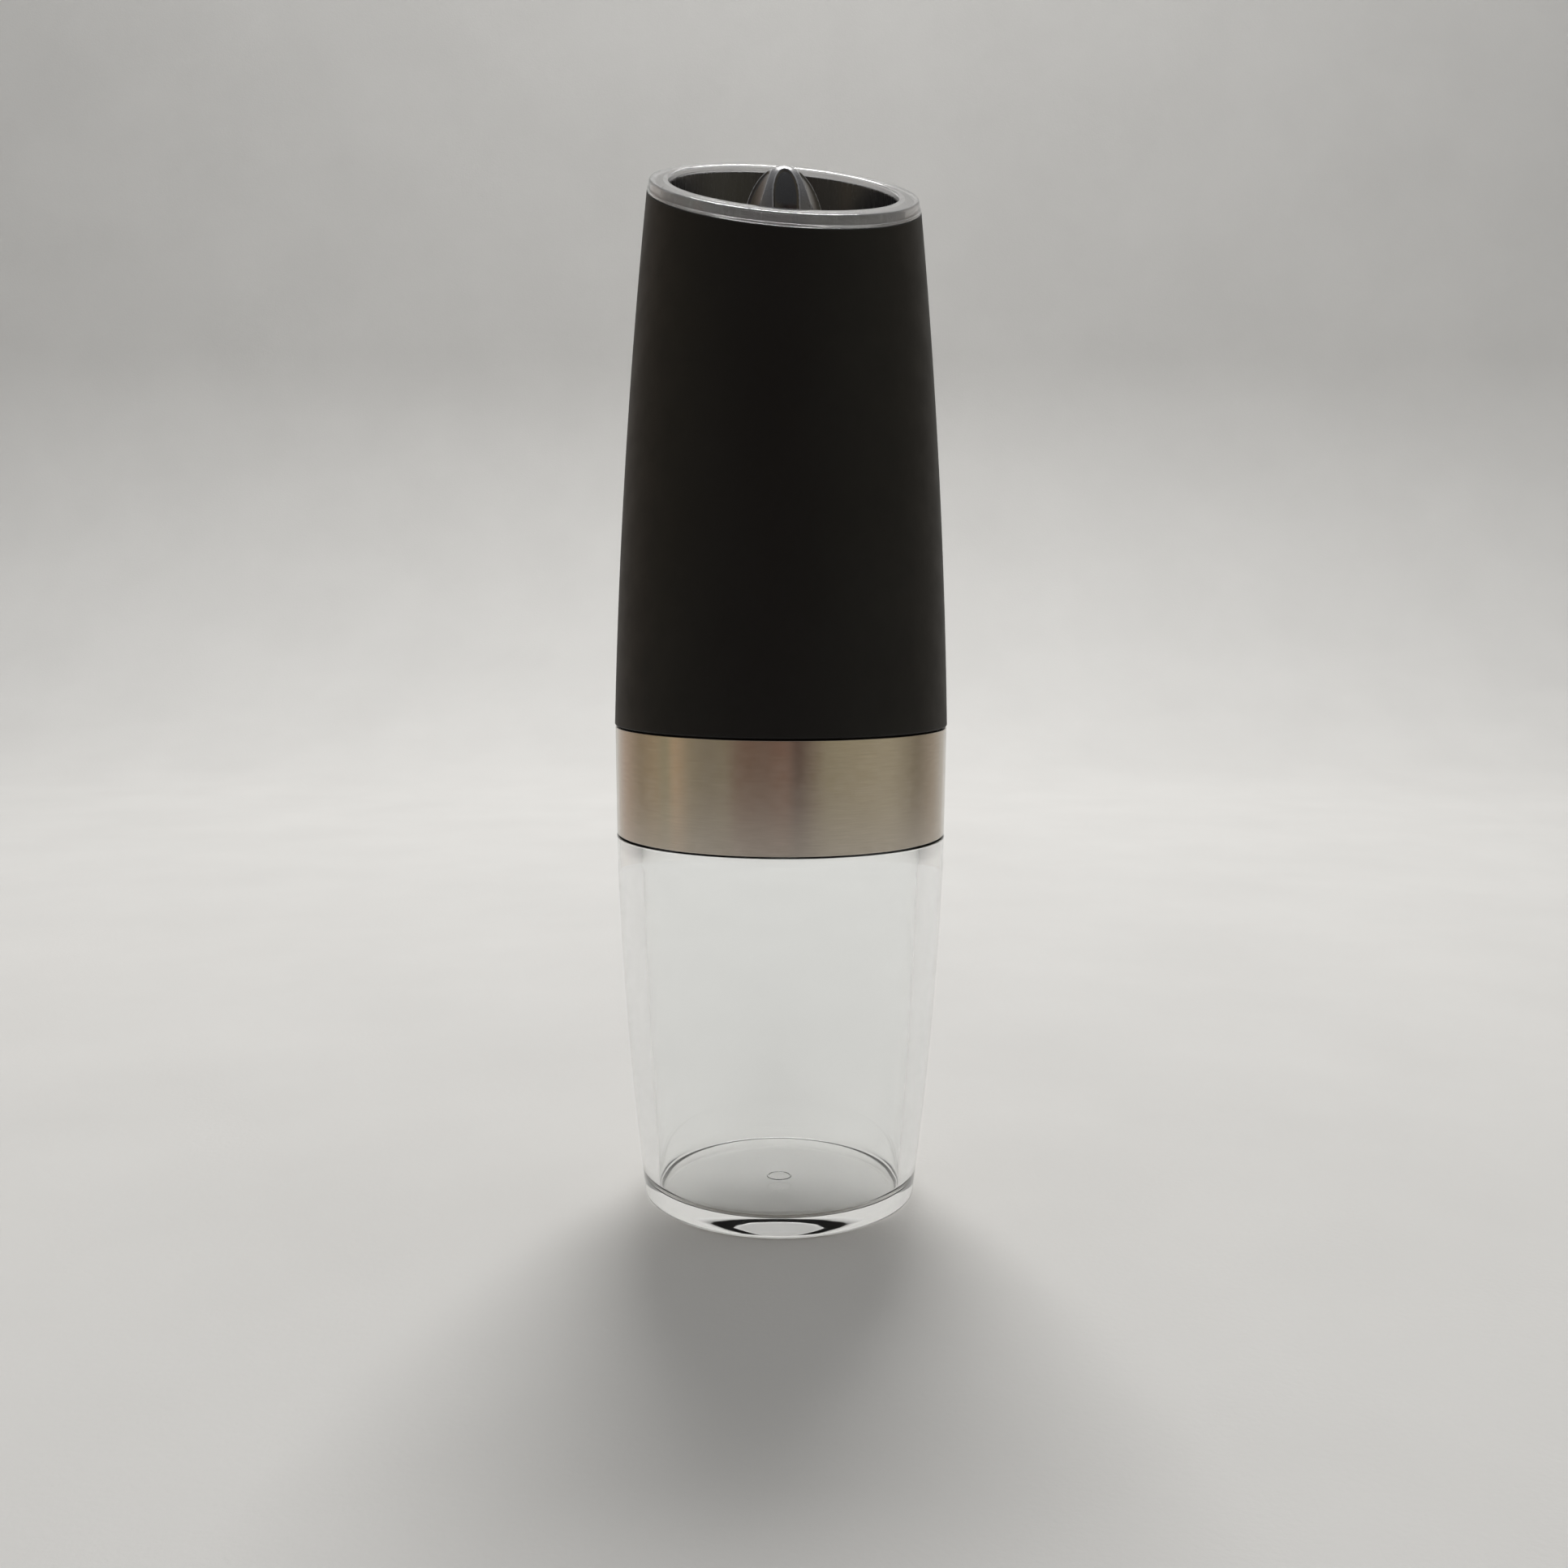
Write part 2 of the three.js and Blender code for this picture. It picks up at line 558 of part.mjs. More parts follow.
// Outline of a gear with its first tooth centred on +X; slack widens (+) or thins (-) each tooth.
function gearOutline(teeth, rootOffset, tipOffset, slack) {
  const pitch = gearModule * teeth / 2;
  const base = pitch * Math.cos(pressureAngle);
  const halfAt = (radius) => {
    const local = Math.acos(Math.min(1, base / Math.max(radius, base)));
    return (Math.PI * gearModule / 2 + slack) / (2 * pitch) + involute(pressureAngle) - involute(local);
  };
  const radii = [pitch + rootOffset, pitch + tipOffset];
  const points = [];
  for (let i = 0; i < teeth; i += 1) {
    const centre = i * turn / teeth;
    radii.forEach((radius) => points.push(polar(radius, centre - halfAt(radius))));
    [...radii].reverse().forEach((radius) => points.push(polar(radius, centre + halfAt(radius))));
  }
  return new THREE.Shape(points);
}

const addendum = 0.85 * gearModule;
const dedendum = 1.25 * gearModule;
const sunOutline = gearOutline(sunTeeth, -dedendum, addendum, -backlash / 2);
const planetOutline = gearOutline(planetTeeth, -dedendum, addendum, -backlash / 2);
const planetOrbit = gearModule * (sunTeeth + planetTeeth) / 2;
const pinRadius = 0.9;
const planetAngles = Array.from({ length: planetCount }, (_, i) => i * turn / planetCount);

function planet(angle, bottom) {
  const mesh = angle + Math.PI + angle * sunTeeth / planetTeeth + Math.PI / planetTeeth;
  const wheel = cut(prism(planetOutline, bottom, bottom + gearWidth), disc(pinRadius + 0.3, bottom - 1,
    bottom + gearWidth + 1, 8));
  const place = polar(planetOrbit, angle);
  return moved(spun(wheel, mesh), place.x, place.y);
}

function carrier(bottom) {
  const plate = disc(planetOrbit + 2.2, bottom, bottom + carrierThickness, 30);
  const pins = planetAngles.map((angle) => {
    const place = polar(planetOrbit, angle);
    return moved(disc(pinRadius, bottom - facePlay - gearWidth + 0.4, bottom + 0.5, 8), place.x, place.y);
  });
  return join(plate, pins);
}

function gearboxHousing() {
  const cup = revolve([[boss + 1, gearboxBottom], [gearboxRadius, gearboxBottom], [gearboxRadius, gearboxTop],
    [0, gearboxTop], [0, gearboxFloor], [boss + 1, gearboxFloor]], 30);
  const teeth = gearOutline(ringTeeth, -addendum, dedendum, backlash / 2);
  return cut(cup, prism(teeth, gearboxFloor, gearboxTop + 1));
}

add('sun_gear', cut(prism(sunOutline, stageOneBottom, stageOneBottom + gearWidth),
  disc(motorShaftRadius + 0.3, stageOneBottom - 1, stageOneBottom + gearWidth + 1, 16)), 'brass');
planetAngles.forEach((angle, i) => add(`first_planet_${i + 1}`, planet(angle, stageOneBottom), 'acetal'));
add('first_carrier', join(carrier(carrierOneBottom),
  prism(sunOutline, carrierOneBottom + carrierThickness - 0.2, stageTwoBottom + gearWidth)), 'acetal');
planetAngles.forEach((angle, i) => add(`second_planet_${i + 1}`, planet(angle, stageTwoBottom), 'acetal'));
add('gearbox_housing', gearboxHousing(), 'acetal');
add('gearbox_cap', tube(shaftRadius + facePlay, gearboxRadius, capBottom, capTop, 36), 'acetal');

// ---- output shaft with feed blades and spring -----------------------------------------------------

const squareHalf = 1.7;
const threadRadius = 1.7;
const squareBottom = innerBurrBottom - 0.6;

function outputShaft() {
  const round = disc(shaftRadius, carrierTwoBottom + 0.2, squareBottom, 24);
  const square = box(-squareHalf, squareHalf, -squareHalf, squareHalf, squareBottom - 0.2, hubTop - 0.1);
  const thread = disc(threadRadius, hubTop - 0.3, threadTop, 20);
  return join(carrier(carrierTwoBottom), round, square, thread);
}

// Three blades on a hub, twisted as they rise.
function feedScrew() {
  const bore = shaftRadius + facePlay;
  const hub = bore + 1.2;
  const twist = degrees(50);
  const blade = 0.9;
  const rings = heights(bladeBottom, bladeTop, 5).map((z, row) => {
    const lean = twist * row / 5;
    return planetAngles.flatMap((angle) => {
      const edge = (radius, side) => polar(radius, angle + lean + side * Math.asin(blade / radius));
      const rootGap = turn / planetCount / 2;
      const valley = polar(hub, angle + lean + rootGap);
      return [edge(hub, -1), edge(bladeRadius, -1), edge(bladeRadius, 1), edge(hub, 1), valley]
        .map((p) => new THREE.Vector3(p.x, p.y, z));
    });
  });
  return cut(loft(rings), disc(bore, bladeBottom - 1, bladeTop + 1, 20));
}

function burrSpring() {
  const bottom = bladeTop + facePlay + springWire;
  const top = innerBurrBottom - facePlay - springWire;
  class Helix extends THREE.Curve {
    getPoint(t, target = new THREE.Vector3()) {
      const angle = t * springTurns * turn;
      return target.set(springRadius * Math.cos(angle), springRadius * Math.sin(angle), bottom + (top - bottom) * t);
    }
  }
  const wire = new THREE.Shape();
  wire.absarc(0, 0, springWire, 0, turn, false);
  return solid(new THREE.ExtrudeGeometry(wire, {
    steps: springTurns * 12, curveSegments: 3, extrudePath: new Helix(),
  }));
}

add('output_shaft', outputShaft(), 'zinc');
add('feed_screw', feedScrew(), 'blackPlastic');
add('burr_spring', burrSpring(), 'zinc');

// ---- frame deck and funnel -------------------------------------------------------------------------

function frameScrew(angle) {
  const head = revolve([[0, frameTop - 10], [0.9, frameTop - 10], [0.9, plateTop - 1.1], [1.9, plateTop - 0.1],
    [0, plateTop - 0.1]], 14);
  return spun(moved(head, screwPitch, 0), angle);
}

function frameDeck() {
  const heads = around(moved(revolve([[0, platePlane - 1], [1.2, platePlane - 1], [1.2, plateTop - 1.3],
    [2.3, plateTop], [2.3, plateTop + 1], [0, plateTop + 1]], 14), screwPitch, 0));
  return cut(tube(gearboxBore, frameRadius, platePlane, plateTop, 36), ports(platePlane - 1, plateTop + 1), heads);
}

function funnel() {
  const outer = throatRadius + 2.6;
  return revolve([[funnelRadius - funnelWall, funnelBottom], [funnelRadius, funnelBottom],
    [funnelRadius, funnelConeBottom], [outer, throatBottom - 0.4], [flangeRadius, throatBottom - 0.4],
    [flangeRadius, throatTop], [throatRadius, throatTop], [throatRadius, throatBottom],
    [funnelRadius - funnelWall, funnelConeBottom]], 36);
}

add('frame_deck', frameDeck(), 'blackPlastic');
thirds.forEach((angle, i) => add(`frame_screw_${i + 1}`, frameScrew(angle), 'zinc'));
add('funnel', funnel(), 'blackPlastic');

// ---- burrs, their retainer and the knob ------------------------------------------------------------

// Toothed ring in a plane: a sharp ridge and a valley for each tooth.
function toothedRing(teeth, ridge, valley, z, lean) {
  return Array.from({ length: teeth * 2 }, (_, i) => {
    const angle = lean + i * Math.PI / teeth + (i % 2 ? 0.35 * Math.PI / teeth : 0);
    const p = polar(i % 2 ? valley : ridge, angle);
    return new THREE.Vector3(p.x, p.y, z);
  });
}

function outerBurr() {
  const teeth = 16;
  const rings = heights(burrBottom - 0.01, burrTop + 0.01, 3).map((z, row) => {
    const ridge = throatRadius - 0.6 + 0.3 * row;
    return toothedRing(teeth, ridge, ridge + 0.9, z, -0.15 * row);
  });
  return cut(disc(burrRadius, burrBottom, burrTop, 36), loft(rings));
}

function innerBurr() {
  const teeth = 12;
  const inlet = throatRadius - 5;
  const outlet = throatRadius - 0.6;
  const rings = heights(innerBurrBottom, innerBurrTop, 5).map((z, row) => {
    const ridge = inlet + (outlet - inlet) * Math.min(1, row / 4);
    return toothedRing(teeth, ridge, ridge - 1.2 + 0.12 * row, z, 0.16 * row);
  });
  const hub = disc(6, innerBurrTop - 0.5, hubTop, 28);
  const hole = squareHalf + facePlay;
  return cut(join(loft(rings), hub), box(-hole, hole, -hole, hole, innerBurrBottom - 1, hubTop + 1));
}

function burrRetainer() {
  const bore = burrRadius + roundPlay;
  const foot = retainerRadius + 4;
  return revolve([[bore, burrBottom], [foot, burrBottom], [foot, burrBottom + 1.5],
    [retainerRadius, burrBottom + 1.5], [retainerRadius, retainerTop], [burrRadius - 0.6, retainerTop],
    [burrRadius - 0.6, burrTop + facePlay], [bore, burrTop + facePlay]], 36);
}

// Semi-ellipsoid dome on a straight stem, with flutes that fade out just below the crown.
function knob() {
  const sides = knobFlutes * 6;
  const offset = degrees(-85);
  const radiusAt = (z) => (z <= domeBottom ? knobRadius
    : knobRadius * Math.sqrt(Math.max(0, 1 - ((z - domeBottom) / knobDome) ** 2)));
  const levels = [knobBottom, knobBottom + 3, domeBottom,
    ...[15, 30, 43, 55, 66, 76, 84].map((a) => domeBottom + knobDome * Math.sin(degrees(a)))];
  const rings = levels.map((z) => {
    const radius = radiusAt(z);
    const depth = fluteDepth * Math.min(1, Math.max(0, (radius - 1.4) / 4));
    return Array.from({ length: sides }, (_, i) => {
      const angle = i * turn / sides;
      const wave = Math.cos(angle * knobFlutes);
      const p = polar(radius - depth * Math.max(0, wave) ** 0.7, angle + offset);
      return new THREE.Vector3(p.x, p.y, z);
    });
  });
  return cut(loft(rings), disc(threadRadius + 0.5, knobBottom - 1, threadTop + 1.2 + burrTravel, 20));
}

add('outer_burr', outerBurr(), 'ceramic');
add('inner_burr', innerBurr(), 'ceramic');
add('burr_retainer', burrRetainer(), 'blackPlastic');
add('grind_knob', knob(), 'smoke');

// ---- lamps -----------------------------------------------------------------------------------------

const ledBoardInner = retainerRadius + 4 + facePlay;
const ledPlaces = Array.from({ length: ledCount }, (_, i) => polar(ledRing, rimAzimuth + i * turn / ledCount));
add('led_board', tube(ledBoardInner, ledRing + 1.6, ledBoardBottom, ledBoardBottom + boardThickness), 'board');
ledPlaces.forEach((place, i) => {
  const base = ledBoardBottom + boardThickness + 0.1;
  const lamp = revolve([[0, base], [ledRadius + 0.2, base], [ledRadius + 0.2, base + 0.6], [ledRadius, base + 0.6],
    [ledRadius, base + 2], [ledRadius * 0.7, base + 2.8], [0, base + 3.1]], 10);
  add(`led_${i + 1}`, moved(lamp, place.x, place.y), 'lamp');
});

// ---- sleeve, outlet cup and clear rim ring -----------------------------------------------------------

const topHeight = rimHighest + 4;

function housingSleeve() {
  const outline = heights(sleeveBottom, topHeight, 6).map((z) => [sleeveRadius(z), z]);
  heights(topHeight, sleeveBottom, 5).forEach((z) => outline.push([sleeveRadius(z) - sleeveWall, z]));
  const shell = revolve(outline, 40);
  const half = degrees(sleeveLugWidth / 2);
  const lugOuter = sleeveRadius(sleeveLugBottom) - sleeveWall + 0.5;
  const lug = sector(spigotRadius + 0.4, lugOuter, -half, half, sleeveLugBottom, sleeveLugBottom + sleeveLugHeight);
  return join(cut(shell, aboveRim(rimCentre - rimSkirtWall - 0.1)), around(lug));
}

function outletCup() {
  const hole = retainerRadius + 0.5;
  const shell = revolve([[hole, cupFloorBottom], [recessRadius(cupFloorBottom) + cupWall, cupFloorBottom],
    [recessRadius(topHeight) + cupWall, topHeight], [recessRadius(topHeight), topHeight],
    [recessRadius(cupFloorTop), cupFloorTop], [hole, cupFloorTop]], 36);
  return cut(shell, aboveRim(rimCentre - rimFlange - 0.1));
}

// Flange over the sleeve's and the cup's edges, with a skirt between them that guides the lamps' light up.
function rimRing() {
  const span = heights(lightGuideBottom, topHeight, 2);
  const outer = span.map((z) => [sleeveRadius(z) - rimStep, z]);
  const inner = [...span].reverse().map((z) => [recessRadius(z), z]);
  const band = cut(revolve([...outer, ...inner], 40), aboveRim(rimCentre));
  const sleeveSpace = revolve([
    ...heights(lightGuideBottom - 1, topHeight, 2).map((z) => [sleeveRadius(z) - sleeveWall - facePlay, z]),
    [baseRadius + 5, topHeight], [baseRadius + 5, lightGuideBottom - 1]], 40);
  const cupSpace = revolve([[0, lightGuideBottom - 1],
    [recessRadius(lightGuideBottom - 1) + cupWall + facePlay, lightGuideBottom - 1],
    [recessRadius(topHeight) + cupWall + facePlay, topHeight], [0, topHeight]], 40);
  return cut(band, cut(sleeveSpace, aboveRim(rimCentre - rimSkirtWall)),
    cut(cupSpace, aboveRim(rimCentre - rimFlange)));
}

function sleeveSeal() {
  const section = 0.8;
  const middle = spigotRadius + 0.65;
  const height = (grooveBottom + grooveTop) / 2;
  return solid(new THREE.TorusGeometry(middle, section, 5, 30).translate(0, 0, height));
}

add('sleeve_seal', sleeveSeal(), 'rubber');
add('housing_sleeve', housingSleeve(), 'softBlack');
add('outlet_cup', outletCup(), 'recessGrey');
add('rim_ring', rimRing(), 'clear');

export default assembly;
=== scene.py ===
import json
import math

import bmesh
import bpy
from mathutils import Matrix, Vector


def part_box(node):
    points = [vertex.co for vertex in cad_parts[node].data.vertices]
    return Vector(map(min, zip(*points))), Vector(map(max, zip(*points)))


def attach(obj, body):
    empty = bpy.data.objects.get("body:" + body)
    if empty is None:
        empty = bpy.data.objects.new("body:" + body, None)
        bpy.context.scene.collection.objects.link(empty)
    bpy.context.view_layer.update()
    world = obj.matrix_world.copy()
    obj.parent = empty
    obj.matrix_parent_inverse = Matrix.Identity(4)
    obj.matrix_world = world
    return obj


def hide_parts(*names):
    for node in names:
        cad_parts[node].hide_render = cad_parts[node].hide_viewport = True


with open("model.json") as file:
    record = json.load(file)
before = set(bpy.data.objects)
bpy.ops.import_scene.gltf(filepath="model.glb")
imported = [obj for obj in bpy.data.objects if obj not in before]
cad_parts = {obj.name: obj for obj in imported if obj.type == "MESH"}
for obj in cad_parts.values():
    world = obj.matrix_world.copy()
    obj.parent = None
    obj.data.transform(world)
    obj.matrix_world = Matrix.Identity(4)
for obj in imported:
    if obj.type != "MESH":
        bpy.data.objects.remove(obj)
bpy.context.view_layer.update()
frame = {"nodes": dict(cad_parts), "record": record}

mm = 0.001
fullTurn = 2 * math.pi
nodes = frame["nodes"]


def boxOf(node):
    low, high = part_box(node)
    return low / mm, high / mm


sleeveLow, sleeveHigh = boxOf("housing_sleeve")
bandLow, bandHigh = boxOf("steel_band")
jarHigh = boxOf("jar")[1]
cupLow = boxOf("outlet_cup")[0]
ringLow, ringHigh = boxOf("rim_ring")
knobLow, knobHigh = boxOf("grind_knob")
retainerHigh = boxOf("burr_retainer")[1]

# the housing's outline and the slanted plane of its rim, in millimetres, from the frame's boxes up
body = {
    "footRadius": sleeveHigh.x,
    "sleeveFoot": sleeveLow.z,
    "sleeveSlope": 0.0286,
    "sleeveArc": 1278.0,
    "sleeveWall": 1.4,
    "rimTilt": math.radians(22.95),
    "uphill": math.radians(100.4),
    "rimTop": ringHigh.z,
    "rimStep": 0.2,
    "columns": 256,
}


def sleeveRadius(z):
    rise = z - body["sleeveFoot"]
    return body["footRadius"] - body["sleeveSlope"] * rise - rise ** 2 / (2 * body["sleeveArc"])


rimRise = math.tan(body["rimTilt"])
rimCentre = body["rimTop"] - rimRise * (sleeveRadius(body["rimTop"]) - body["rimStep"])


def rimHeight(radius, angle, offset=0.0):
    return rimCentre + offset + rimRise * radius * math.cos(angle - body["uphill"])


# where a wall meets the slanted plane, or one parallel to it: each round comes closer
def meetRim(radiusAt, angle, offset=0.0):
    z = rimCentre
    for _ in range(14):
        z = rimHeight(radiusAt(z), angle, offset)
    return radiusAt(z), z


def steps(start, end, count):
    return [start + (end - start) * i / count for i in range(count + 1)]


def linear(hexColour):
    def channel(value):
        return value / 12.92 if value <= 0.04045 else ((value + 0.055) / 1.055) ** 2.4
    rgb = [int(hexColour[i:i + 2], 16) / 255 for i in (1, 3, 5)]
    return [channel(value) for value in rgb] + [1.0]


# settings go to the node itself or to its sockets, and links come in to its sockets, by name or number
def addNode(tree, kind, settings=None, links=None):
    node = tree.nodes.new(kind)
    for name, value in (settings or {}).items():
        if isinstance(name, str) and hasattr(node, name):
            setattr(node, name, value)
        else:
            node.inputs[name].default_value = value
    for name, source in (links or {}).items():
        tree.links.new(source, node.inputs[name])
    return node


def newMaterial(name, settings):
    material = bpy.data.materials.new(name)
    material.use_nodes = True
    tree = material.node_tree
    shader = tree.nodes["Principled BSDF"]
    for socket, value in settings.items():
        shader.inputs[socket].default_value = value
    place = addNode(tree, "ShaderNodeTexCoord").outputs["Object"]
    return material, tree, shader, place


noiseRange = (0.3, 0.7)  # where nearly all of a noise's values lie


# lays noise on a shader, each pattern with its grain in millimetres: the colour runs between two hexes,
# the gloss between two roughness values, and the bumps are as deep as they say, in millimetres
def layPatterns(tree, shader, place, patterns):
    for target, look in patterns.items():
        noise = addNode(tree, "ShaderNodeTexNoise", {
            "Scale": 1 / (look["grain"] * mm),
            "Detail": look.get("detail", 3.0),
            "Roughness": look.get("fuzz", 0.5),
        }, {"Vector": place})
        if target == "colour":
            ramp = addNode(tree, "ShaderNodeValToRGB", {}, {"Fac": noise.outputs["Fac"]})
            for i, position in enumerate(look.get("between", noiseRange)):
                ramp.color_ramp.elements[i].position = position
                ramp.color_ramp.elements[i].color = linear(look["hexes"][i])
            tree.links.new(ramp.outputs["Color"], shader.inputs["Base Color"])
        elif target == "gloss":
            gloss = addNode(tree, "ShaderNodeMapRange", {
                "From Min": noiseRange[0], "From Max": noiseRange[1],
                "To Min": look["between"][0], "To Max": look["between"][1],
            }, {"Value": noise.outputs["Fac"]})
            tree.links.new(gloss.outputs["Result"], shader.inputs["Roughness"])
        elif target == "bumps":
            bump = addNode(tree, "ShaderNodeBump", {
                "Distance": look["depth"] * mm, "Strength": look.get("strength", 1.0),
            }, {"Height": noise.outputs["Fac"]})
            tree.links.new(bump.outputs["Normal"], shader.inputs["Normal"])


# angle round the axis as an arc length, with the height kept: for marks that run round a turned piece
def wrapped(tree, place, radius, alongScale):
    split = addNode(tree, "ShaderNodeSeparateXYZ", {}, {"Vector": place})
    angle = addNode(tree, "ShaderNodeMath", {"operation": "ARCTAN2"},
                    {0: split.outputs["Y"], 1: split.outputs["X"]})
    arc = addNode(tree, "ShaderNodeMath", {"operation": "MULTIPLY", 1: radius * mm * alongScale},
                  {0: angle.outputs[0]})
    joined = addNode(tree, "ShaderNodeCombineXYZ", {}, {"X": arc.outputs[0], "Z": split.outputs["Z"]})
    return joined.outputs["Vector"]


# closed outline in radius and height; each corner is (radius, height, fillet)
def roundedLoop(corners, arcSteps=6):
    edgeShare = 0.49  # a fillet takes less than half of the edge on either side
    points = []
    count = len(corners)
    for i, (r, z, fillet) in enumerate(corners):
        here = Vector((r, z))
        if fillet <= 0:
            points.append((r, z))
            continue
        before = Vector(corners[i - 1][:2]) - here
        after = Vector(corners[(i + 1) % count][:2]) - here
        half = before.angle(after) / 2
        reach = min(fillet / math.tan(half), edgeShare * before.length, edgeShare * after.length)
        size = reach * math.tan(half)
        centre = here + (before.normalized() + after.normalized()).normalized() * size / math.sin(half)
        start = here + before.normalized() * reach - centre
        end = here + after.normalized() * reach - centre
        sweep = start.angle_signed(end)
        for j in range(arcSteps + 1):
            part = start.copy()
            part.rotate(Matrix.Rotation(-sweep * j / arcSteps, 2))
            points.append(tuple(centre + part))
    return points


# one outline's vertices, stood up at an angle round the axis
def outlineRow(shape, outline, angle):
    return [shape.verts.new((r * math.cos(angle) * mm, r * math.sin(angle) * mm, z * mm)) for r, z in outline]


def joinRows(shape, here, there, closed=True):
    count = len(here)
    for i in range(count if closed else count - 1):
        j = (i + 1) % count
        shape.faces.new((here[i], there[i], there[j], here[j]))


def meshFrom(name, shape):
    bmesh.ops.recalc_face_normals(shape, faces=shape.faces)
    mesh = bpy.data.meshes.new(name)
    shape.to_mesh(mesh)
    shape.free()
    return mesh


# outlineAt(angle) gives (radius, height) points in millimetres; closed joins the last point to the first
def turnedMesh(name, outlineAt, columns=body["columns"], closed=True):
    shape = bmesh.new()
    angles = [fullTurn * column / columns for column in range(columns)]
    rows = [outlineRow(shape, outlineAt(angle), angle) for angle in angles]
    for column in range(columns):
        joinRows(shape, rows[column], rows[(column + 1) % columns], closed)
    bmesh.ops.remove_doubles(shape, verts=shape.verts, dist=0.0001 * mm)
    return meshFrom(name, shape)


def makeObject(name, mesh, material, bodyName, replaced, smoothAngle=35):
    mesh.materials.append(material)
    mesh.shade_smooth()
    mesh.set_sharp_from_angle(angle=math.radians(smoothAngle))
    piece = bpy.data.objects.new(name, mesh)
    bpy.context.scene.collection.objects.link(piece)
    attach(piece, bodyName)
    if replaced:
        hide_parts(*replaced)
    return piece


# places and sizes of the camera, the paper, the lamps and the room are in metres
view = {
    "place": (0.00064, -0.3059, 0.12057),
    "pitch": math.radians(90 - 7.07),
    "roll": math.radians(0.247),
    "lens": 35.776,
    "sensor": 36,
    "nearest": 0.01,
}


def makeCamera():
    data = bpy.data.cameras.new("studioCamera")
    data.lens = view["lens"]
    data.sensor_width = view["sensor"]
    data.clip_start = view["nearest"]
    camera = bpy.data.objects.new("studioCamera", data)
    aim = Matrix.Rotation(view["pitch"], 4, "X") @ Matrix.Rotation(view["roll"], 4, "Z")
    camera.matrix_world = Matrix.Translation(view["place"]) @ aim
    bpy.context.scene.collection.objects.link(camera)
    bpy.context.scene.camera = camera


makeCamera()

paper = {
    "width": 5.0,
    "front": -2.5,
    "bend": 0.62,
    "bendRadius": 0.3,
    "bendSteps": 24,
    "height": 2.4,
    "hexes": ("#dad9d7", "#dedddb"),
}


# seamless paper, uncoated: a matte floor that curves up into a backdrop, with a faint cloudiness and tooth
def makePaper():
    path = [(paper["front"], 0.0), (paper["bend"], 0.0)]
    for angle in steps(0, math.pi / 2, paper["bendSteps"])[1:]:
        path.append((paper["bend"] + paper["bendRadius"] * math.sin(angle),
                     paper["bendRadius"] * (1 - math.cos(angle))))
    path.append((path[-1][0], paper["height"]))
    half = paper["width"] / 2
    verts = [(side * half, y, z) for side in (-1, 1) for y, z in path]
    count = len(path)
    faces = [(i, i + 1, count + i + 1, count + i) for i in range(count - 1)]
    mesh = bpy.data.meshes.new("seamlessPaper")
    mesh.from_pydata(verts, [], faces)
    mesh.flip_normals()
    mesh.shade_smooth()
    material, tree, shader, place = newMaterial("mattePaper", {"Roughness": 0.9, "Specular IOR Level": 0.2})
    layPatterns(tree, shader, place, {
        "colour": {"grain": 60.0, "detail": 4, "hexes": paper["hexes"]},
        "bumps": {"grain": 1.2, "depth": 0.05}})
    mesh.materials.append(material)
    floor = bpy.data.objects.new("seamlessPaper", mesh)
    bpy.context.scene.collection.objects.link(floor)


makePaper()

lights = {
    "keySoftbox": {
        "at": (0.03, 0.72, 1.4), "aim": (0, 0, 0.08), "size": (0.49, 0.37), "watts": 14.0, "hex": "#fffefc"},
    "backWash": {
        "at": (0.0, 0.1, 1.9), "aim": (0, 1.0, 0.7), "size": (3.4, 0.8), "watts": 3.0, "hex": "#fdfdff"},
}


def makeLights():
    for name, light in lights.items():
        data = bpy.data.lights.new(name, "AREA")
        data.shape = "RECTANGLE"
        data.size, data.size_y = light["size"]
        data.energy = light["watts"]
        data.color = linear(light["hex"])[:3]
        lamp = bpy.data.objects.new(name, data)
        lamp.location = light["at"]
        aim = Vector(light["aim"]) - Vector(light["at"])
        lamp.rotation_euler = aim.to_track_quat("-Z", "Y").to_euler()
        bpy.context.scene.collection.objects.link(lamp)


makeLights()

room = {"strength": 0.44, "hex": "#dcdcdb"}


def makeRoom():
    world = bpy.data.worlds.new("studioRoom")
    world.use_nodes = True
    back = world.node_tree.nodes["Background"]
    back.inputs["Color"].default_value = linear(room["hex"])
    back.inputs["Strength"].default_value = room["strength"]
    bpy.context.scene.world = world
    bpy.context.scene.view_settings.view_transform = "Standard"


makeRoom()

# a low wall round the viewer's side, lit from within, whose colours the polished pieces pick up:
# each stop is a bearing in degrees from straight ahead, anticlockwise seen from above, and a colour
roomWall = {
    "radius": 0.36,
    "low": 0.0,
    "high": 0.5,
    "reach": 150,
    "panels": 96,
    "strength": 1.0,
    "hex": "#202020",
    "stops": [
        (-150, "#d6d3ce"), (-129, "#c5b3a4"), (-107, "#9f9078"), (-90, "#b3a184"), (-80, "#a3a084"),
        (-74, "#d0b595"), (-61, "#9c927a"), (-48, "#8d8370"), (-36, "#958b74"), (-28, "#7d6250"),
        (-10, "#775c4c"), (5, "#8a6a5a"), (9, "#533a30"), (13, "#5d4538"), (20, "#857563"), (30, "#a59c82"),
        (58, "#b4ab92"), (76, "#bbb39c"), (103, "#8e8472"), (124, "#b5aa9c"), (150, "#d6d4ce")],
}


